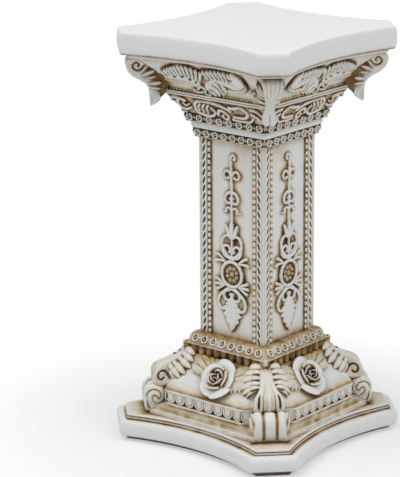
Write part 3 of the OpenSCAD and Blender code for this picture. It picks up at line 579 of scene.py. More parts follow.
volute_path = [(69.5, 19), (70.9, 22.6), (71.4, 27), (70, 30.4), (67, 32), (63.7, 31), (62.1, 28.2),
               (63.4, 25.9), (65.2, 27.8), (66.6, 28.4), (67.6, 26.6), (66.6, 24), (63.8, 22.6),
               (60.8, 23.6)]
groove = groove_of(volute_path, 6, out, up, 0.62) * on_cheek
bulge = 2.8 * round_top(hypot(out - volute_eye[0], up - volute_eye[1] - 0.5) / 6.4) * on_cheek
t = t - np.sign(share) * (1.2 * groove + 4 * clip(shrink - 0.8, 0, 1) * on_cheek - bulge)
seam = (abs(off_middle - seam_place) < 0.8) & ~on_cheek
volute_wash = 0.42 * groove**1.5 + 0.02 + 0.45 * seam + 0.5 * nearness(up - volute_shape[:, 1].min(), 1.2)
for k, corner in enumerate(corners):
    shell = (on_corner(k, t, out, up), volute_wash)
    make_piece("volute_scroll_" + corner, [shell], "ornament", "volute_" + corner)

# Acanthus scrolls: a leaf cast in one for each corner of the bell. A ribbed ridge runs down
# from a knob under the collar and curls over in a roll above the volute; fingers of leaf
# spread from both sides of it over the faces, with dark slits between them.


def tube(path, wide, thick, facing, stain, shade, count=16):
    """Shell along a path in space: an ellipse at each point, wide across the path and thick
    along the facing direction. The wash starts where the sine round the ring falls below shade."""
    path = np.array(path, float)
    ahead = np.gradient(path, axis=0)
    across = np.cross(ahead, facing)
    ahead, across = (arrow / np.linalg.norm(arrow, axis=1)[:, None] for arrow in (ahead, across))
    off = np.cross(across, ahead)
    off *= np.sign((off * facing).sum(1))[:, None]
    turn = linspace(0, 2 * pi, count, endpoint=False)[:, None]
    wide, thick = np.array(wide)[:, None], np.array(thick)[:, None]
    rings = path[:, None] + (across * wide)[:, None] * cos(turn) + (off * thick)[:, None] * sin(turn)
    return rings, stain + 1.3 * clip(shade - sin(turn[:, 0]), 0, 1)


def finger(start, tip, bulge, half, facing, steps=18, blunt=0.7):
    """Tube of a leaf finger from start to tip, bent out by bulge: it widens along a quarter sine up
    to the share blunt, then closes in a round tip. Points are (out, across, up)."""
    s = linspace(0, 1, steps)[:, None]
    path = np.array(start) * (1 - s) + np.array(tip) * s + 4 * s * (1 - s) * np.array(bulge)
    s = s[:, 0]
    width = half * (0.4 + 0.6 * sin(clip(s / blunt, 0, 1) * pi / 2))
    width = width * (1 - 0.97 * (clip(s - blunt, 0, 1) / (1 - blunt)) ** 2) ** 0.6
    return tube(path, width, 0.45 * width, facing, 0.04, 0.9)


def placed(k, shells):
    """Shells drawn round the diagonal as (out, across, up), moved to both sides of corner k."""
    return [(on_corner(k, rings[..., 1] * side, rings[..., 0], rings[..., 2]), stain)
            for rings, stain in shells for side in (1, -1)]


acanthus_shape = rounded([(36, 56), (41, 58.6), (44.2, 58.4), (45.4, 55.8), (47.4, 52.6), (51.4, 50.2),
                          (56.5, 48.5), (60.5, 46.9), (64, 44.6), (66, 41.4), (66.4, 37.6),
                          (65.4, 34.2), (62, 32.9), (58.4, 34), (56, 36.4), (50, 38),
                          (40, 44)], 190, 0.7)
share, shrink = scroll_rows(73, 18)
on_cheek = shrink < 1
off_middle = abs(share)
level = acanthus_shape[:, 1]
curl_foot, knob_foot = 33.6, 57
leaf_half = interp(level, [33, 40, 43, 45, 47, 49, 52, 57], [9.4, 9.4, 8.8, 7.4, 5.6, 4.4, 3.4, 2.6])
flute = interp(level, [41, 50], [0.35, 0.14]) * cos(share * pi * 5.2) * (off_middle < 0.38)
curl_roll = interp(level, [40, 46], [1.8, 0.9]) * round_top((off_middle - 0.69) / 0.3)
slit = ridge((off_middle - 0.7) / 0.07) * (acanthus_shape[:, 0] > 62)
slit = slit * interp(level, [36, 38, 43, 45], [0, 1, 1, 0])
parting = ridge((off_middle - 0.4) / 0.05) * interp(level, [43, 49], [1, 0.15])
leaf_lift = flute + where(off_middle > 0.4, curl_roll - 0.5, 0) - 1.5 * slit - 1.1 * parting
leaf_lift = where(on_cheek, -0.7, leaf_lift - 1.8 * clip(off_middle - 0.8, 0, 1))
t, out, up = scroll(acanthus_shape, (57, 41.5), share, shrink, leaf_half, leaf_lift)
acanthus_path = [(54.6, 36.2), (56.8, 39), (58.2, 41.6), (60.7, 42.8), (63, 41.9), (63.7, 39.7),
                 (62.8, 37.7), (61.2, 37.3), (60.2, 38.3)]
groove = groove_of(acanthus_path, 6, out, up, 0.6) * on_cheek
t = t - np.sign(share) * 1.3 * groove
leaf_wash = 0.04 + 0.85 * groove**1.3 + 0.1 * (flute < -0.15) + 0.95 * slit + 0.3 * parting * ~on_cheek
leaf_wash = leaf_wash + 0.6 * nearness(up - curl_foot, 0.9)
leaf_wash = leaf_wash + 0.35 * nearness(knob_foot - up, 2) * (out < 47)
# Fingers of leaf, from the top down: (out, across, up) of their roots on the ridge and their tips.
finger_roots = np.array([(44.6, 1.6, 55.6), (46.4, 2, 52.6), (49.4, 2.6, 50), (53, 3.4, 48),
                         (55.4, 4.8, 46.4), (55.8, 6.4, 45)])
finger_tips = np.array([(40.4, 9.4, 53.6), (41.6, 12.6, 50.2), (43.4, 14.8, 46.6), (46.8, 15.6, 42.8),
                        (50, 14.8, 40), (52.8, 12.8, 38.6)])
leaf_facing = (0.5, 0.6, 0.6)
fingers = [finger(root, tip, (1, 1.2, 1), half, leaf_facing, 18, 0.5)
           for root, tip, half in zip(finger_roots, finger_tips, (2.9, 3.1, 3.2, 3.1, 2.7, 2))]
fingers += [finger(root, 0.55 * root + 0.45 * tip + (1.2, 1.1, 1.2), (0.9, 1, 0.9), 2.2, leaf_facing, 12)
            for root, tip in zip(finger_roots[1:5], finger_tips[1:5])]
knob = tube([(44.2, 0, 56.4), (45, 0, 57.4), (45.4, 0, 58.6), (45.3, 0, 59.8), (44.8, 0, 60.6)],
            [1.0, 1.8, 2.0, 1.6, 0.5], [1.0, 1.7, 1.9, 1.5, 0.5], (1, 0, 0.1), 0.1, 0.55)
for k, corner in enumerate(corners):
    shells = [(on_corner(k, t, out, up), leaf_wash), placed(k, [knob])[0], *placed(k, fingers)]
    make_piece("acanthus_leaf_" + corner, shells, "ornament", "acanthus_" + corner)

# Rose leaves: a broad ribbed leaf on the left of each rose, half under it, and a
# pointed one with a toothed lower edge on its right, both pressed on the bell's slope.


def part_near(u, v, path, margin):
    """The rows and columns of the grid that lie within the margin of a path."""
    low, high = path.min(0) - margin, path.max(0) + margin
    rows = np.searchsorted(v[:, 0], [low[1], high[1]])
    columns = np.searchsorted(u[0], [low[0], high[0]])
    return slice(*rows), slice(*columns)


def stroke(h, u, v, points, wide, narrow, rise, eye=1.4, groove=0.0):
    """Raises a half-round rib along the points, of half width wide at its start and narrow at its
    end. A ball of radius eye * narrow ends it, and a groove may follow its middle."""
    path = np.array(points, float)
    part = part_near(u, v, path, max(wide, narrow) * max(1, eye) + 0.3)
    away, run = near(path, u[part], v[part])
    half = wide + (narrow - wide) * run
    rib = rise * round_top(away / half)
    rib = rib - groove * ridge(away / (0.35 * half)) * (rib > 0)
    ball = 1.1 * rise * round_top(hypot(u[part] - path[-1][0], v[part] - path[-1][1]) / (eye * narrow))
    raised = maximum(rib, ball)
    h[part] = where(raised > 0, maximum(h[part], raised), h[part])


def leaf(h, u, v, path, half, rise, teeth, bite, vein):
    """Raises a pointed leaf along the path. Its half width is half * sine of (pi * run^0.75), less
    the bite of its teeth, and it has a sunk midrib and slanting veins."""
    part = part_near(u, v, path, half + 0.5)
    away, run = near(path, u[part], v[part])
    width = half * sin(pi * clip(run, 0.02, 0.98) ** 0.75)
    width = width * (1 - bite * (0.5 + 0.5 * cos(2 * pi * teeth * run)))
    veins = 0.5 + 0.5 * cos(2 * pi * (teeth * run - 0.9 * away / half))
    body = rise * round_top(away / width) * (1 - vein * veins * clip(away / half, 0, 0.6))
    h[part] = where(away < width, maximum(h[part], body - 0.5 * vein * ridge(away / 0.35)), h[part])


def on_slope(v):
    """Distance out and height of points v up the slope of the bell."""
    return bell_half - v * slope_normal[1], bell_low + v * slope_normal[0]


leaf_grid = linspace(-24, 31, 184), linspace(4, 27, 78)
u, v = np.meshgrid(*leaf_grid)
lift = np.full(u.shape, -1.2)
x, y = rose_place
# Two leaves on the left and two on the right: path from the rose's middle, half width, rise,
# number of teeth and their bite. Ribs fan out over them.
for points, half, rise, teeth, bite in (([(-4, 1), (-14, 4), (-22, 5.6)], 5.6, 2.1, 7, 0.14),
                                        ([(-3, 4), (-10, 9), (-18, 12.6)], 6, 2.3, 7, 0.14),
                                        ([(5, -2), (15, 1), (26, 9)], 6.4, 2.3, 10, 0.3),
                                        ([(7, 4), (15, 9), (24, 13)], 6, 2.2, 7, 0.14)):
    leaf(lift, u, v, flow(points) + rose_place, half, rise, teeth, bite, 0.12)
for turn in radians(np.arange(120, 174, 13)):
    reach = 21.5 - 2.2 * abs(turn - 2.55) ** 2
    tip = (x + reach * cos(turn), y + 1 + reach * sin(turn))
    stroke(lift, u, v, [(x - 3, y + 1), tip], 1.6, 3.2, 2.5, 1)
for turn in radians((2, 20, 38)):
    reach = 23 - 6 * abs(turn - 0.35)
    stroke(lift, u, v, [(x + 6, y), (x + reach * cos(turn), y + reach * sin(turn))], 2, 3.6, 2.5, 0.7)
stain = stain_of(maximum(lift, 0), leaf_grid, 0.5, 1.3, (1.4, 0.7)) + 0.11 + 0.3 * nearness(v[-1] - v, 3)
for k, side in enumerate(sides):
    shell = sheet(k, u, *on_slope(v), lift, slope_normal, stain, 1.6)
    make_piece("leaves_" + side, [shell], "ornament", "rose_leaves_" + side)

# Roses: each is a tight bud inside a cup of petals, with five broad open petals round
# it, the lower ones the longest. Cast apart and set on the slope, part over the leaves.


def petal(turn, spread, low, high, rise, thick, roll, dark, rows=23, count=14):
    """Shell of one petal round the axis: it starts at radius low and opens to radius high at its
    rim, spread degrees each side of turn, and its rim rolls outwards by roll."""
    a = linspace(-1, 1, rows)[:, None]
    b = linspace(0, 1, count)
    angle = radians(turn + spread * a * (1 - 0.12 * b))
    level = rise * (1 - 0.34 * abs(a) ** 3) * sin(b * pi / 2 * 1.12) ** 0.75
    outer = low + (high - low) * b**1.6 + roll * clip(b - 0.75, 0, 1) * 4
    faces = [np.stack([away * cos(angle), away * sin(angle), level], -1)
             for away in ((outer - inset * (1 - 0.4 * b)) * (1 - 0.07 * a**4) for inset in (0, thick))]
    stain = np.concatenate([0.6 * (1 - b) ** 3, (1.2 * (1 - b) ** dark)[::-1]])
    return np.concatenate([faces[0], faces[1][:, ::-1]], 1), stain


# Open petals first, by direction, spread and reach, then the cup's three rows, the bud and the heart.
rose_shells = [petal(turn, spread, 6.5, reach, 4.2 + 0.004 * turn, 1.5, 0.5, 2.6) for turn, spread, reach in
               ((-128, 45, 12.6), (-56, 44, 13.4), (10, 41, 11.8), (76, 46, 13.2), (160, 48, 11.6))]
rose_shells += [petal(turn, 56, 5.6, 7.6, 6.3, 1.1, 0.5, 0.6) for turn in (-100, 10, 125)]
rose_shells += [petal(turn, 62, 3.6, 5.0, 7.1, 0.9, 0.3, 0.5) for turn in (-40, 80, 205)]
rose_shells += [petal(turn, 84, 1.9, 2.8, 7.6, 0.7, 0.2, 0.5) for turn in (20, 190)]
rose_shells += [petal(-70, 120, 0.7, 1.1, 7.8, 0.45, 0.1, 0.5)]
turn, rise = linspace(0, 2 * pi, 48, endpoint=False), linspace(0, 1, 8)[:, None]
away = 10 * cos(rise * pi / 2 * 0.97)
heart = points_of(away * cos(turn), away * sin(turn), 4.4 * rise**0.6 - 0.6)
rose_shells.append((heart, 0.9))
for k, side in enumerate(sides):
    shells = []
    for rings, stain in rose_shells:
        out, up = on_slope(rose_place[1] + rings[..., 1])
        off = rings[..., 2] - 0.2
        shells.append((on_side(k, rose_place[0] + rings[..., 0], out + off * slope_normal[0],
                               up + off * slope_normal[1]), stain))
    make_piece("rose_bloom_" + side, shells, "ornament", "rose_" + side)

# Lower collar: one resin casting round the foot of the shaft. A band of dark gadroon
# tongues hangs over the bell, and a sloping band above it carries a row of rings.
collar_low, collar_high = span("lower_collar")
collar_half, gadroons, gadroon_foot, gadroon_high = 34, 11, 2.8, 5.5
band_low = collar_low + 6
collar_rows = [(collar_low + rise, collar_half, 1.2, 0) for rise in linspace(0, gadroon_high, 16)]
collar_rows += [(band_low - 0.4, 33.8, 1.2, 0), (band_low - 0.1, 33.2, 1.1, 0), (band_low, 31.9, 1, 0)]
collar_rows += [(band_low + rise, 31.6 - 0.5 * rise, 1, 0) for rise in (0.3, 2.7, 5.2)]
collar_rows += [(collar_high - 0.3, 28.9, 1, 0), (collar_high, 28.2, 1, 0), (collar_high, 25, 1, 0)]
collar_rings = course(collar_rows, 0.5, 880)
across, outwards = side_of(collar_rings)
place = abs((across / (2 * collar_half / gadroons) + 0.5) % 1 - 0.5)
rise = collar_rings[..., 2] - collar_low
foot_width = 0.49 * round_top(clip(gadroon_foot - rise, 0, gadroon_foot) / gadroon_foot) + 0.01
crown = round_top(place / foot_width)
inner = ridge((place - 0.3) / 0.05) * (rise > 1.6)
sink = where(rise <= gadroon_high, 1.9 * (1 - crown) + 0.35 * inner, 0)
collar_rings[..., :2] *= (1 - sink / maximum(outwards, 1))[..., None]
on_gadroons = rise <= gadroon_high + 0.1
collar_wash = where(on_gadroons, 0.46 + 0.6 * clip(1 - crown, 0, 1) ** 1.5 + 0.15 * inner, 0.22)
collar_wash = collar_wash + 0.3 * nearness(gadroon_high + 0.1 - rise, 0.8) * on_gadroons
collar_wash = collar_wash + 0.2 * nearness(collar_high - collar_rings[..., 2], 0.6)
make_piece("lower_collar_casting", [(collar_rings, collar_wash)], "casting", "lower_collar")

# Ring rows: three bands of small C-shaped rings, eight to a side, each curled round a
# little ball. They are cast on the collars' sloping faces, with nearly black wash in the holes.


def ring_band(name, low_half, low, high_half, high, pitch, ground, hole, replaced):
    """Four strips of rings from half width low_half at height low to high_half at height high.
    A ring is a rib along a spiral: its radius starts at 0.42 of the way up the band and shrinks
    by e to the power of 0.06 with each radian of turn. ground and hole are the wash between the
    rings and inside them."""
    length = hypot(high_half - low_half, high - low)
    normal = ((high - low) / length, -(high_half - low_half) / length)
    strip_half = 4 * pitch
    u, v = np.meshgrid(linspace(-strip_half, strip_half, 265), linspace(0, length, 26))
    local = (u + strip_half) % pitch - pitch / 2
    off_middle = v - 0.52 * length
    turn = radians(linspace(62, -255, 40))
    reach = 0.42 * length * exp(0.06 * (turn - turn[0]))
    coil = np.stack([reach * cos(turn), 0.52 * length + reach * sin(turn)], -1)
    rib = 1.6 * round_top(near(coil, local, v)[0] / 0.56)
    ball = 1.4 * round_top(hypot(local, off_middle) / 0.7)
    link = 0.9 * round_top(hypot((pitch / 2 - abs(local)) / 0.55, off_middle / 1.3))
    ledge = 1.2 * clip(1 - v / 0.35, 0, 1)
    lift = maximum.reduce([rib, ball, link, ledge]) * 0.85 + 0.12
    inside = hypot(local, off_middle) < 0.43 * length
    stain = where(lift < 0.4, where(inside, hole, ground), 0.4 * clip(1.1 - lift, 0, 1))
    half = low_half + (high_half - low_half) * v / length
    across = u * np.minimum(1, (half - 0.3) / strip_half)
    up = low + (high - low) * v / length
    strips = [sheet(k, across, half, up, lift, normal, stain, 1.0, 5) for k in range(4)]
    make_piece(name, strips, "ornament", replaced)


ring_band("rings_bottom", 31.5, band_low + 0.1, 28.9, collar_high - 0.6, 7.2, 0.3, 0.72, "ring_row_bottom")

# Shaft panels: the sunk field of each side with its candelabra of scrolls, carved in
# one. From the foot: a hanging leaf, a lyre, a medallion of beads in a ring with side
# leaves, a second lyre, a cup of leaves, curls, a heart and a hooked finial.
shaft_low, shaft_high = span("lower_collar")[1], span("upper_collar")[0]
core_half, shaft_half, moulding_width = 24.2, 25.6, 9.8
panel_half, panel_foot, medallion_up, medallion_half = 16.2, 5.5, 36.4, 9.2
panel_grid = linspace(-panel_half, panel_half, 111), linspace(0, shaft_high - shaft_low, 344)
u, v = np.meshgrid(*panel_grid)
up = v - panel_foot
field = np.zeros(u.shape)


def curl(start, heading, length, bend, bend_end, steps=24):
    """Path of a curled stroke: its heading, in degrees, turns by bend degrees a millimetre at
    the start, and by bend_end at the end."""
    run = length * (np.arange(steps) + 0.5) / steps
    turn = radians(heading + bend * run + (bend_end - bend) * run**2 / (2 * length))
    step = np.stack([cos(turn), sin(turn)], -1) * length / steps
    return np.vstack([start, start + np.cumsum(step, 0)])


def mirrored(path, *sizes, **more):
    """Raises a stroke of the panel on both sides of its middle line."""
    stroke(field, u, up, path, *sizes, **more)
    stroke(field, u, up, np.array(path) * (-1, 1), *sizes, **more)


# Hanging leaf, first lyre, and the leaves on both sides of the medallion.
leaf(field, u, up, np.array([(0, 20.5), (0, 10), (0, -1)]), 7.6, 1.5, 5, 0.22, 0.3)
mirrored(curl((0.8, 27.1), -28, 27, 2, -21), 1.2, 0.9, 1.35, 1.5, 0.25)
mirrored(curl((0.6, 26.8), 8, 19, -9, -24), 1.15, 0.85, 1.3, 1.5, 0.2)
for heading in (22, -4, -30):
    mirrored(curl((5, 29.2), heading, 7.6, 0, 0), 0.9, 1.05, 1.2, 1.1)
for heading in (6, 44):
    mirrored(curl((5.5, 44), heading, 7.4, 0, -8), 0.85, 1.05, 1.2, 1.1)
# Second lyre, stem, cup of leaves and upper stem.
mirrored(curl((0.8, 46.2), 40, 22.5, -1, 17), 1.2, 0.9, 1.35, 1.5, 0.25)
mirrored(curl((1, 47.3), -14, 19, 9, 24), 1.15, 0.85, 1.3, 1.5, 0.2)
stroke(field, u, up, [(0, 44), (0, 61)], 1.0, 0.9, 1.2)
stroke(field, u, up, [(0, 61), (0, 68.5)], 2.6, 1.6, 1.7, 1.0)
mirrored([(1.8, 61.5), (4.4, 67.5)], 1.9, 1.1, 1.5, 1.0)
stroke(field, u, up, [(0, 67), (0, 89)], 1.0, 0.9, 1.2)
# Small curls, the heart and its inner curls, and the hooked finial.
mirrored(curl((0.2, 77.5), 55, 7, -12, -40), 0.9, 0.7, 1.2, 1.5)
mirrored(curl((3.4, 77.5), -40, 3.6, -5, 40), 0.7, 0.55, 1.0)
mirrored(curl((0, 89), -4, 16.4, -6, -31), 1.15, 0.8, 1.3, 1.5, 0.2)
mirrored(curl((0.7, 99.8), 82, 13, -19, -28), 1.0, 0.8, 1.2, 1.4)
stroke(field, u, up, [(0, 89), (-0.4, 104), (-0.8, 110.6)], 1.1, 1.0, 1.2)
stroke(field, u, up, curl((-0.8, 110.4), 90, 7, -22, -48), 1.0, 0.75, 1.2, 1.6)
bead_count, bead_ring = 8, 3.9
medallion = hypot(u / 0.97, up - medallion_up)
field = where(medallion < medallion_half, 0.15, field)
bead_turn = (np.arctan2(up - medallion_up, u) / (2 * pi) * bead_count) % 1 - 0.5
beads = hypot(bead_turn * 2 * pi / bead_count * bead_ring, medallion - bead_ring)
field = maximum.reduce([field, 1.4 * round_top((medallion - 8.05) / 1.2), 1.2 * round_top(beads / 1.35),
                        1.4 * round_top(medallion / 1.7)])
# Wash on the panel: in the hollows and the closed fields, in one upper corner, along the edges
# and in the medallion, and painted shadow of the carving beside it, on one side. Slow waves make it uneven.
spot = sin(u * 0.31 + 1.3) * sin(v * 0.11 + 0.6) + 0.6 * sin(u * 0.47 - v * 0.19)
open_field = field < 0.2
enclosed = clip(blurred(field, panel_grid, 2.4) - field - 0.12, 0, None)
shadow_shift = round(2.24 / (u[0, 1] - u[0, 0]))
shadow = clip(np.roll(blurred(field, panel_grid, 1.2), shadow_shift, 1) * open_field, 0, 1)
panel_wash_and_shadow = stain_of(field, panel_grid, 0.5, 1.7, (1.15, 0.3)) + 1.15 * enclosed * (0.75 + 0.25 * spot)
panel_wash_and_shadow += 0.28 * shadow * (0.6 + 0.4 * spot)
panel_wash_and_shadow += 0.2 * nearness(hypot(u - 9, (v - v[-1]) * 0.5), 4) * open_field
panel_wash_and_shadow += (0.45 * nearness(v, 2.2) + 0.3 * nearness(v[-1] - v, 2)
               + 0.3 * nearness(panel_half - abs(u), 0.7))
panel_wash_and_shadow += where(medallion < 7, 0.22, 0)
for k, side in enumerate(sides):
    shell = sheet(k, u, core_half, shaft_low + v, 1.3 * field + 0.1, (1, 0), panel_wash_and_shadow, 0.9, 3)
    make_piece("panel_field_" + side, [shell], "ornament", "panel_" + side)

# Corner mouldings: an angle strip of resin glued up each edge of the shaft. Each leg has a
# row of short bars along the field, a braid of slanting slots and two fine lines by the edge.
strip_width, edge_round = 6.6, 0.5
bar_place, bar_pitch = 8.1, 3.9
braid_place, braid_pitch = 4.2, 5.08
fine_lines, rim_line = (2.3, 1.2), 6.35
back_edge, back_middle = 34.6, 31.2
moulding_grid = linspace(-moulding_width, moulding_width, 81), linspace(0, shaft_high - shaft_low, 390)
s, v = np.meshgrid(*moulding_grid)
from_edge = abs(s)
bars = hypot((from_edge - bar_place) / 1.25, (v % bar_pitch - bar_pitch / 2) / 1.45)
bars = 1.15 * round_top(bars**2)
from_braid = from_edge - braid_place
slot = hypot(((v - from_braid * 1.5) % braid_pitch - braid_pitch / 2) / 1.75, from_braid / 1.15)
slot = round_top(slot)
strip = 1.0 - 1.15 * slot + 0.2 * exp(-((from_braid / 1.9) ** 4)) - ridge((from_edge - rim_line) / 0.3)
strip = strip - 0.45 * sum(ridge((from_edge - line) / 0.22) for line in fine_lines)
moulding_lift = where(from_edge < strip_width, strip, maximum(bars, 0.1)) - 1.25
moulding_lift = where(from_edge > moulding_width - 0.2, -1.1, moulding_lift)
moulding_wash = stain_of(moulding_lift, moulding_grid, 0.4, 1.2, (1.0, 0.3))
moulding_wash += (0.55 * (from_edge > strip_width) * (bars < 0.4) + 0.4 * nearness(v, 1.5)
                  + 0.25 * nearness(v[-1] - v, 2))
bend = sqrt(s**2 + edge_round**2)
lean = hypot(1, s / bend)
out = shaft_half * sqrt(2) - (bend - edge_round) / sqrt(2) + moulding_lift / lean
t = s / sqrt(2) + moulding_lift * s / bend / lean
leg = moulding_width / sqrt(2)
back_t = np.array([leg - 1.2, 0, 1.2 - leg])
back_out = np.array([back_edge - leg, back_middle, back_edge - leg])
for k, corner in enumerate(corners):
    front = on_corner(k, t, out, shaft_low + v)
    back = on_corner(k, back_t, back_out, shaft_low + v[:, :3])
    # Back-right and front-left mouldings are darker than the other two: partly uneven wash, partly painted
    # shade.
    wash_and_shade_gain = 0.85 if k % 2 else 0.55
    stain = np.concatenate([wash_and_shade_gain * moulding_wash + 0.85 * slot, np.full((len(v), 3), 0.3)], 1)
    shell = (np.concatenate([front, back], 1), stain)
    make_piece("edge_moulding_" + corner, [shell], "ornament", "moulding_" + corner)

# Upper collar: one resin casting on top of the shaft, with a row of rings under a plain
# rounded fillet, and a second, wider row over it. The fillet is left white, with a thin
# dark line under it.
upper_low, upper_high = span("upper_collar")
fillet_low, fillet_high = upper_low + 5.4, upper_high - 5.4
upper_rows = [(upper_low, 25.5, 1, 0), (upper_low, 27.2, 1, 0), (fillet_low - 0.3, 28.6, 1, 0),
              (fillet_low, 28.6, 1.2, 0)]
upper_rows += [(z, half, 2, 0) for z, half in bullnose(fillet_low + 0.1, fillet_high - 0.2, 29.8, 0.9, 10)]
upper_rows += [(fillet_high, 30.6, 1.5, 0), (fillet_high + 0.3, 31, 1.5, 0), (upper_high, 32.6, 1.5, 0),
               (upper_high, 30, 1, 0)]
upper_shell = (course(upper_rows, 0.5), hollow(upper_rows, 0.8) * 1.2)
make_piece("upper_collar_casting", [upper_shell], "casting", "upper_collar", sharp=50)
ring_band("rings_middle", 27.2, upper_low + 0.1, 28.6, fillet_low, 6.9, 0.9, 0.95, "ring_row_middle")
ring_band("rings_top", 31.0, fillet_high + 0.1, 32.6, upper_high, 7.8, 0.9, 0.95, "ring_row_top")

# Capital bell: a sloping scrolled zone, a double rail and a flare that turns out to a
# thin fillet under the slab. Cast hollow; its sides bow in more and more towards the top.
capital_low, capital_high = upper_high, span("capital_bell")[1]
rail_low, flare_low, flare_high = capital_low + 12, capital_low + 14.5, capital_low + 35.5
scroll_low_half, scroll_high_half, rail_half = 32.2, 40.5, 41.5
flare_low_half, flare_high_half, cap_half = 40, 59.8, 63.4
flare_rise = flare_high - flare_low


def flare(share):
    """Half width, corner cut and bow of the flare at that share of its height: they grow with the
    share to the power of 1.5, 1 and 1.3."""
    return (flare_low_half + (flare_high_half - flare_low_half) * share**1.5, 3 + 9.5 * share,
            0.3 + 8 * share**1.3)


bell_rows = [(capital_low, 31, 1.5, 0), (capital_low, scroll_low_half, 1.5, 0),
             (rail_low - 0.1, scroll_high_half, 3, 0)]
bell_rows += [(rail_low + rise, rail_half - inset, 3, 0) for rise, inset in
              ((0, 0.3), (0.3, 0), (0.8, 0), (1, 0.6), (1.3, 0.6), (1.5, 0.1), (2.2, 0.1))]
bell_rows += [(flare_low + flare_rise * share, *flare(share)) for share in linspace(0, 1, 30)]
bell_rows += [(flare_high + 0.1, cap_half - 0.8, 13, 8.4), (flare_high + 0.5, cap_half - 0.2, 13.2, 8.5),
              (capital_high - 0.5, cap_half, 13.4, 8.6), (capital_high, cap_half - 0.3, 13.4, 8.6),
              (capital_high, 50, 12, 6)]
bell_rings = course(bell_rows, 0.6)
height = bell_rings[..., 2]
bell_wash_and_shade = hollow(bell_rows, 0.9) * 1.2 + 0.3 * nearness(abs(height - flare_high), 1.5)
# Painted shade under the slab: the bell's top edge darkens.
bell_wash_and_shade = bell_wash_and_shade + 0.6 * nearness(capital_high - height, 0.15)
make_piece("capital_casting", [(bell_rings, bell_wash_and_shade)], "casting", "capital_bell", sharp=50)

# Scroll friezes: the sloping zone under the rail, with a running scroll carved from
# side to side: a drop leaf and a hook, a whorl with ribs in it, a loop and a spade.
zone_rise, zone_run = rail_low - capital_low, scroll_high_half - scroll_low_half
zone_length = hypot(zone_run, zone_rise)
zone_normal = (zone_rise / zone_length, -zone_run / zone_length)
carving_grid = linspace(-39, 39, 340), linspace(-0.6, 12.6, 60)
u, v = np.meshgrid(*carving_grid)
carving = np.zeros(u.shape)
# Each line of the carving: half width at its start and at its end, then its points.
frieze_lines = [(1.5, 0.6, (-30.6, 10.9), (-34.6, 10.4), (-36.7, 7.2)),
                (1.2, 0.8, (-25.4, 9.3), (-28.8, 10.3), (-31.4, 7.8), (-30.6, 4.2), (-26.6, 3.2),
                 (-22.2, 4.9)),
                (0.8, 0.5, (-27.4, 7.4), (-25.6, 5.9), (-22.4, 7.4)),
                (0.9, 0.6, (-35, 2), (-32.5, 1.1), (-28, 1)),
                (1.1, 1.0, (-17.9, 1.9), (-18.5, 6.3), (-15.6, 9.8), (-11, 10.8), (-5.6, 10.9),
                 (2.6, 9.8), (9.3, 7.2)),
                (1.1, 0.8, (-17.9, 1.9), (-12.9, 0.8), (-7.4, 1.1), (-3.6, 4.3), (-5.2, 7)),
                (0.9, 0.6, (-9.9, 8.8), (-12.7, 6.4), (-13.1, 3)),
                (0.9, 0.6, (-6.8, 8.6), (-9.4, 6.2), (-9.7, 3)),
                (0.9, 0.6, (-13.4, 8.6), (-15.7, 6.4), (-15.9, 4)),
                (1.1, 0.7, (-2.1, 3.2), (0, 5.9), (3.6, 5.9), (6, 2.8), (4, 0.6), (1.4, 1.3), (1.9, 3.1)),
                (1.1, 0.9, (9.4, 9.2), (13.8, 9.4), (18.9, 10.7), (22.4, 7.9), (20.7, 4.4), (16.5, 3.2),
                 (10.6, 3.2)),
                (0.9, 0.7, (8.4, 1.2), (15, 0.9), (22, 1.4), (26, 4.6)),
                (1.3, 0.6, (27, 10.6), (31, 10), (34.6, 6.6)),
                (1.0, 0.7, (26, 7.2), (29.4, 5.4), (32.4, 2.2))]
for wide, narrow, *points in frieze_lines:
    stroke(carving, u, v, flow(points, 5), wide, narrow, 1.6, 1.2, 0.2)
carving_wash = stain_of(carving, carving_grid, 0.55, 1.5, (1.3, 0.8)) + 0.2 * (carving < 0.15)


def sampled(field, grid, u, v):
    """The field's value at each point (u, v) of its grid, by its four neighbours."""
    x, y = (clip((place - line[0]) / (line[1] - line[0]), 0, len(line) - 1.001)
            for place, line in zip((u, v), grid))
    i, j = x.astype(int), y.astype(int)
    x, y = x - i, y - j
    low, high = (field[row, i] * (1 - x) + field[row, i + 1] * x for row in (j, j + 1))
    return low * (1 - y) + high * y


u, v = np.meshgrid(linspace(-1, 1, 251), linspace(0, 1, 44))
half = scroll_low_half + zone_run * v
across, rise = u * (half - 1.5), v * zone_rise
lift = sampled(carving, carving_grid, across, rise) + 0.1
stain = sampled(carving_wash, carving_grid, across, rise) + 0.35 * nearness(zone_rise - rise, 0.8)
for k, side in enumerate(sides):
    shell = sheet(k, across, half, capital_low + rise, lift, zone_normal, stain)
    make_piece("scrolls_" + side, [shell], "ornament", "scroll_frieze_" + side)

# Palmettes: the carved skin of each side of the flare, cast in one. It has two wings of short
# feathers with deep pits under them, a smooth domed cartouche at the end of the second, a
# ribbed shell between them at the foot, and strings of beads on the rail.
wing_grid = linspace(-56, 56, 440), linspace(-0.5, 21.5, 90)
u, v = np.meshgrid(*wing_grid)
wings = np.zeros(u.shape)


def evenly(count, *points):
    """Points at equal steps along a smooth path through the given ones."""
    path = flow(points, 12)
    return along(path, linspace(0, run_of(path)[-1], count))


def dome(x, y, reach_x, reach_y, rise):
    """Smooth dome over an ellipse round (x, y)."""
    return rise * round_top(hypot((u - x) / reach_x, (v - y) / reach_y))


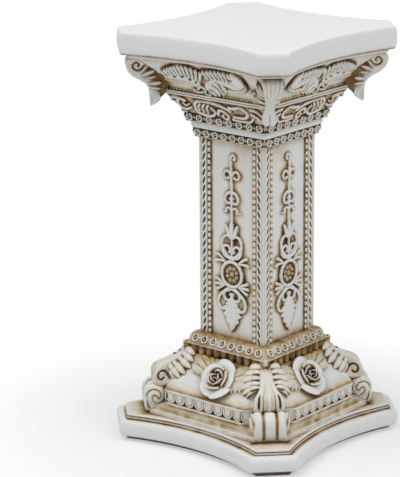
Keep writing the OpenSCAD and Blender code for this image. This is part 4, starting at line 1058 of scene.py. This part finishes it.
# Left wing's body, then both wings' feathers, each a tip over a foot, and the right wing's body.
stroke(wings, u, v, flow([(-33.5, 9.6), (-27, 9.8), (-20, 9.6), (-12, 7.6)]), 2.4, 2.6, 1.5, 1)
stroke(wings, u, v, flow([(-35, 8), (-30, 7.6), (-24, 8.2), (-19, 7.6), (-12.5, 6)]), 0.8, 0.8, 2.0, 1)
feet = [*evenly(11, (-33, 10.6), (-26, 12), (-18, 13), (-8.5, 10.6)),
        *evenly(7, (-1, 12.6), (6, 12.8), (12, 12.6), (17, 11.6))]
tips = [*evenly(11, (-34.2, 13.4), (-28.2, 16), (-22.8, 18), (-16, 18.8), (-10.5, 17.9), (-5.4, 15.6)),
        *evenly(7, (-2.4, 17), (6, 18.2), (12.2, 18.7), (18.4, 18.2))]
for foot, tip in zip(feet, tips):
    stroke(wings, u, v, [foot + 0.52 * (tip - foot), tip], 1.0, 1.25, 2.3, 1.05, 0.35)
    stroke(wings, u, v, [foot, foot + 0.3 * (tip - foot)], 1.0, 1.05, 2.0, 1.1, 0.1)
stroke(wings, u, v, flow([(0, 10.8), (7, 11.4), (13, 10.4), (19, 10)]), 1.6, 2.6, 1.6, 1)
# Domes of the cartouche with its rim, the dome of the shell, and the curls round them.
wings = maximum.reduce([wings, dome(22.6, 14, 6.6, 5.6, 2.0), dome(19, 9.6, 9.4, 3.0, 1.6)])
wing_rim = flow([(23.6, 19.2), (28, 17), (29.2, 13), (27, 9.4), (20, 7.2), (12.6, 6.8)])
stroke(wings, u, v, wing_rim, 0.9, 0.7, 2.3, 1)
wings = maximum(wings, dome(1.4, 5.8, 8.6, 5.6, 2.2))
for points in ([(-12.2, 4), (-9.8, 6), (-6.8, 4.6), (-6.4, 1.6), (-3.4, 0.6)],
               [(-15.6, 3), (-12.4, 1.6), (-8.8, 2.4)], [(31, 6), (33.8, 8.4), (37.4, 6.6), (37.2, 3)],
               [(40.4, 11), (43.6, 16.6), (47.4, 14)], [(-1.6, 9.6), (2.4, 12.4), (7, 11.6), (9.6, 8)],
               [(-4.4, 7.6), (-1.4, 4.4), (2.4, 5.4), (2, 8.4)]):
    stroke(wings, u, v, flow(points), 1.0, 0.8, 2.1, 1.4, 0.3)
# Pits, most of them under the feathers: place across the side, place up the flare, and size.
for x, y, size in ((-32, 11.4, 0.8), (-27.2, 10.6, 0.9), (-21.6, 11.2, 0.9), (-16.4, 9.7, 0.9),
                   (-12.4, 8.4, 0.8), (6.5, 14.6, 1.0), (12.8, 15.4, 1.0), (18, 14.6, 0.9), (34.2, 5, 0.8),
                   (35, 2.2, 0.7), (0.4, 13.4, 0.7)):
    wings = wings - 2.6 * ridge(hypot((u - x) / size, (v - y) / (0.7 * size)))
# Grooves between the ribs of the shell.
for points in ([(3.6, 11.2), (5.2, 9.8), (6.5, 6.8), (7.8, 3.8)],
               [(0.6, 8.6), (4, 6.8), (5.4, 3.4), (5.2, 1)],
               [(-2.4, 5.4), (0.6, 4.6), (2.2, 2.6), (2, 0.6)], [(-5, 3.6), (-2.6, 3), (-1.2, 1.2)]):
    wings = wings - 1.5 * groove_of(points, 7, u, v, 0.5)
beaded = ((u > -41) & (u < -13)) | ((u > 3.5) & (u < 28))
wings = maximum(wings, 0.9 * round_top(hypot((u % 2.6 - 1.3) / 1.1, (v - 0.9) / 0.75)) * beaded)
feather_line = interp(u, [-36, -34, -28, -22.8, -16, -10.5, -5, -2.4, 6, 12, 19, 24, 29, 32],
                      [14, 14, 17, 19.2, 20, 19, 16.6, 18, 19.4, 20, 19.6, 20, 18.6, 16])
over_feathers = nearness(abs(v - feather_line) - 0.2, 0.9) * (wings < 0.2) * (u > -35) * (u < 23)
wings_wash_and_shadow = (stain_of(wings, wing_grid, 0.5, 1.5, (1.3, 0.6)) + 0.45 * clip(-wings, 0, 1)
              + 0.6 * over_feathers)
wings_wash_and_shadow += 0.5 * nearness(v - 0.2, 0.9) * beaded + 0.1 * nearness(v, 2)
# Painted shadow beside the cartouche's right edge.
wings_wash_and_shadow += 0.4 * nearness(abs(u - 30.4) - 0.4, 0.7) * (v > 9)
u, v = np.meshgrid(linspace(-1, 1, 341), linspace(0, 1, 70))
half, cut, bow = flare(v)
across, rise = u * (half - cut + 1.2), v * flare_rise
slope = np.gradient(half - 0.6 * bow, axis=0) / (flare_rise / (len(v) - 1))
lift = maximum(sampled(wings, wing_grid, across, rise) + 0.15, -0.7) - 0.9 * (abs(u) > 0.985)
stain = sampled(wings_wash_and_shadow, wing_grid, across, rise)
# Painted shadow in a band along each corner of the flare, behind the brackets; it is also darker under the
# fillet at the top.
stain = stain + 0.5 * nearness((1 - abs(u)) * 45 - 3, 2.6) + 0.4 * nearness(flare_rise - rise, 0.8)
flare_normal = (1 / hypot(1, slope), -slope / hypot(1, slope))
for k, side in enumerate(sides):
    shell = sheet(k, across, half - bow * (1 - u**2), flare_low + rise, lift, flare_normal, stain, 1.2, 31)
    make_piece("wings_" + side, [shell], "ornament", "palmette_" + side)

# Capital brackets: a scroll of resin at each corner under the slab. Its front is a plain
# strip that narrows to a waist and ends in a small leaf over the rail; its cheeks carry a
# spiral, and ruffled fingers of leaf stand behind them along the corner of the flare.
bracket_high = 243.7
bracket_shape = rounded([(70.4, bracket_high), (78.6, bracket_high), (80.6, 241.7), (81, 238.9),
                         (79.7, 234.7), (76.7, 231.4), (71.8, 228.8), (68.4, 226.4), (66.4, 223),
                         (63.6, 224), (63.8, 227), (65.8, 229.6), (67, 232.7), (68.8, 235.6),
                         (68.6, 240)], 172, 0.6)
share, shrink = scroll_rows(39, 16)
on_cheek = shrink < 1
strip_half = interp(bracket_shape[:, 1], [223, 226, 230, 234, 238, 243], [2.3, 2.8, 3.7, 4.9, 5.7, 6.4])
flute = 0.25 * cos(share * 4.5 * pi) * (abs(share) < 0.8)
bracket_lift = where(on_cheek, -0.7, flute + 0.5 * ridge((abs(share) - 0.88) / 0.1) - 0.6)
t, out, up = scroll(bracket_shape, (73.9, 237.6), share, shrink, strip_half, bracket_lift)
bracket_path = [(67.5, 240.3), (68.9, 239), (70.8, 236.7), (73, 235.2), (75.7, 236.3), (76.5, 238.8),
                (74.3, 240.5), (72.7, 239.2), (73.2, 238)]
groove = groove_of(bracket_path, 7, out, up, 0.55) * on_cheek
t = t - np.sign(share) * 1.1 * groove
# The top of the strip, under the slab, is darkened as painted shade; the groove and flutes keep wash.
bracket_wash_and_shade = 0.8 * groove + 0.02 + 0.5 * nearness(bracket_high - up, 0.7) + 0.1 * (flute < -0.1)
tail_shape = rounded([(63, 226.4), (67.4, 226), (66.6, 222.6), (66, 218.9), (65.8, 212.6), (62.6, 214.2),
                      (59.6, 216.8), (60.4, 221)], 90, 0.5)
tail_share, tail_shrink = scroll_rows(27, 9)
tail_half = interp(tail_shape[:, 1], [212.6, 215, 218, 222, 226], [2.6, 4.2, 3.8, 2.4, 2.7])
vein = -0.6 * ridge(tail_share / 0.12) * (tail_shape[:, 1] < 220)
tail = scroll(tail_shape, (63.4, 219), tail_share, tail_shrink, tail_half, vein * (tail_shrink == 1))
# A dark web behind the ruffles fills the gap to the flare as painted shadow.
shadow_web_shape = rounded([(70, bracket_high), (60, bracket_high), (55, 234), (53.5, 225), (57, 220),
                     (62, 216), (65, 220), (67, 225.6), (66.4, 229), (67.6, 233), (69.6, 237)], 64, 0.5)
shadow_web = scroll(shadow_web_shape, (62, 230), *scroll_rows(9, 8), 2.6)
# Ruffles, from the top down: root, tip and half width of each.
ruffles = [finger(root, tip, (0.5, 1, 0), half, (0.6, 0.7, 0.2), 14) for root, tip, half in
           (((71.6, 3.8, 233.2), (66.6, 6.4, 239.2), 1.2), ((71.2, 3.8, 231.8), (63.4, 7.2, 235.4), 1.5),
            ((69.8, 3.2, 229.6), (62.8, 6.8, 231.8), 1.0), ((67.2, 2.6, 226.6), (59.2, 6.2, 227.8), 1.4),
            ((66.2, 2.2, 224.2), (59.6, 5.2, 223.8), 1.1))]
for k, corner in enumerate(corners):
    shells = [(on_corner(k, t, out, up), bracket_wash_and_shade), (on_corner(k, *tail), 0.03 + 0.3 * (vein < -0.3)),
              (on_corner(k, *shadow_web), 0.52), *placed(k, ruffles)]
    make_piece("bracket_scroll_" + corner, shells, "ornament", "bracket_" + corner)

# Top slab: one thick, plain plate that things stand on, with cut corners and bowed-in
# sides. It is cast with soft edges and left white; only its lowest edge is darkened, as painted shade under
# the slab.
slab_low, slab_high = capital_high, span("top_slab")[1]
slab_rows = [(slab_low, 50, 11, 7), (slab_low, 65, 13, 9)]
slab_rows += [(z, half, 13.5, 9) for z, half in bullnose(slab_low, slab_high, 67, 1.2, 14)]
slab_rows += [(slab_high, 60, 11, 8), (slab_high, 45, 8, 5), (slab_high, 25, 4, 2), (slab_high, 8, 1, 0)]
slab_rings = course(slab_rows, 0.6)
slab_underside_shade = 0.9 * nearness(slab_rings[..., 2] - slab_low, 0.4)
make_piece("slab_casting", [(slab_rings, slab_underside_shade)], "casting", "top_slab", sharp=50)
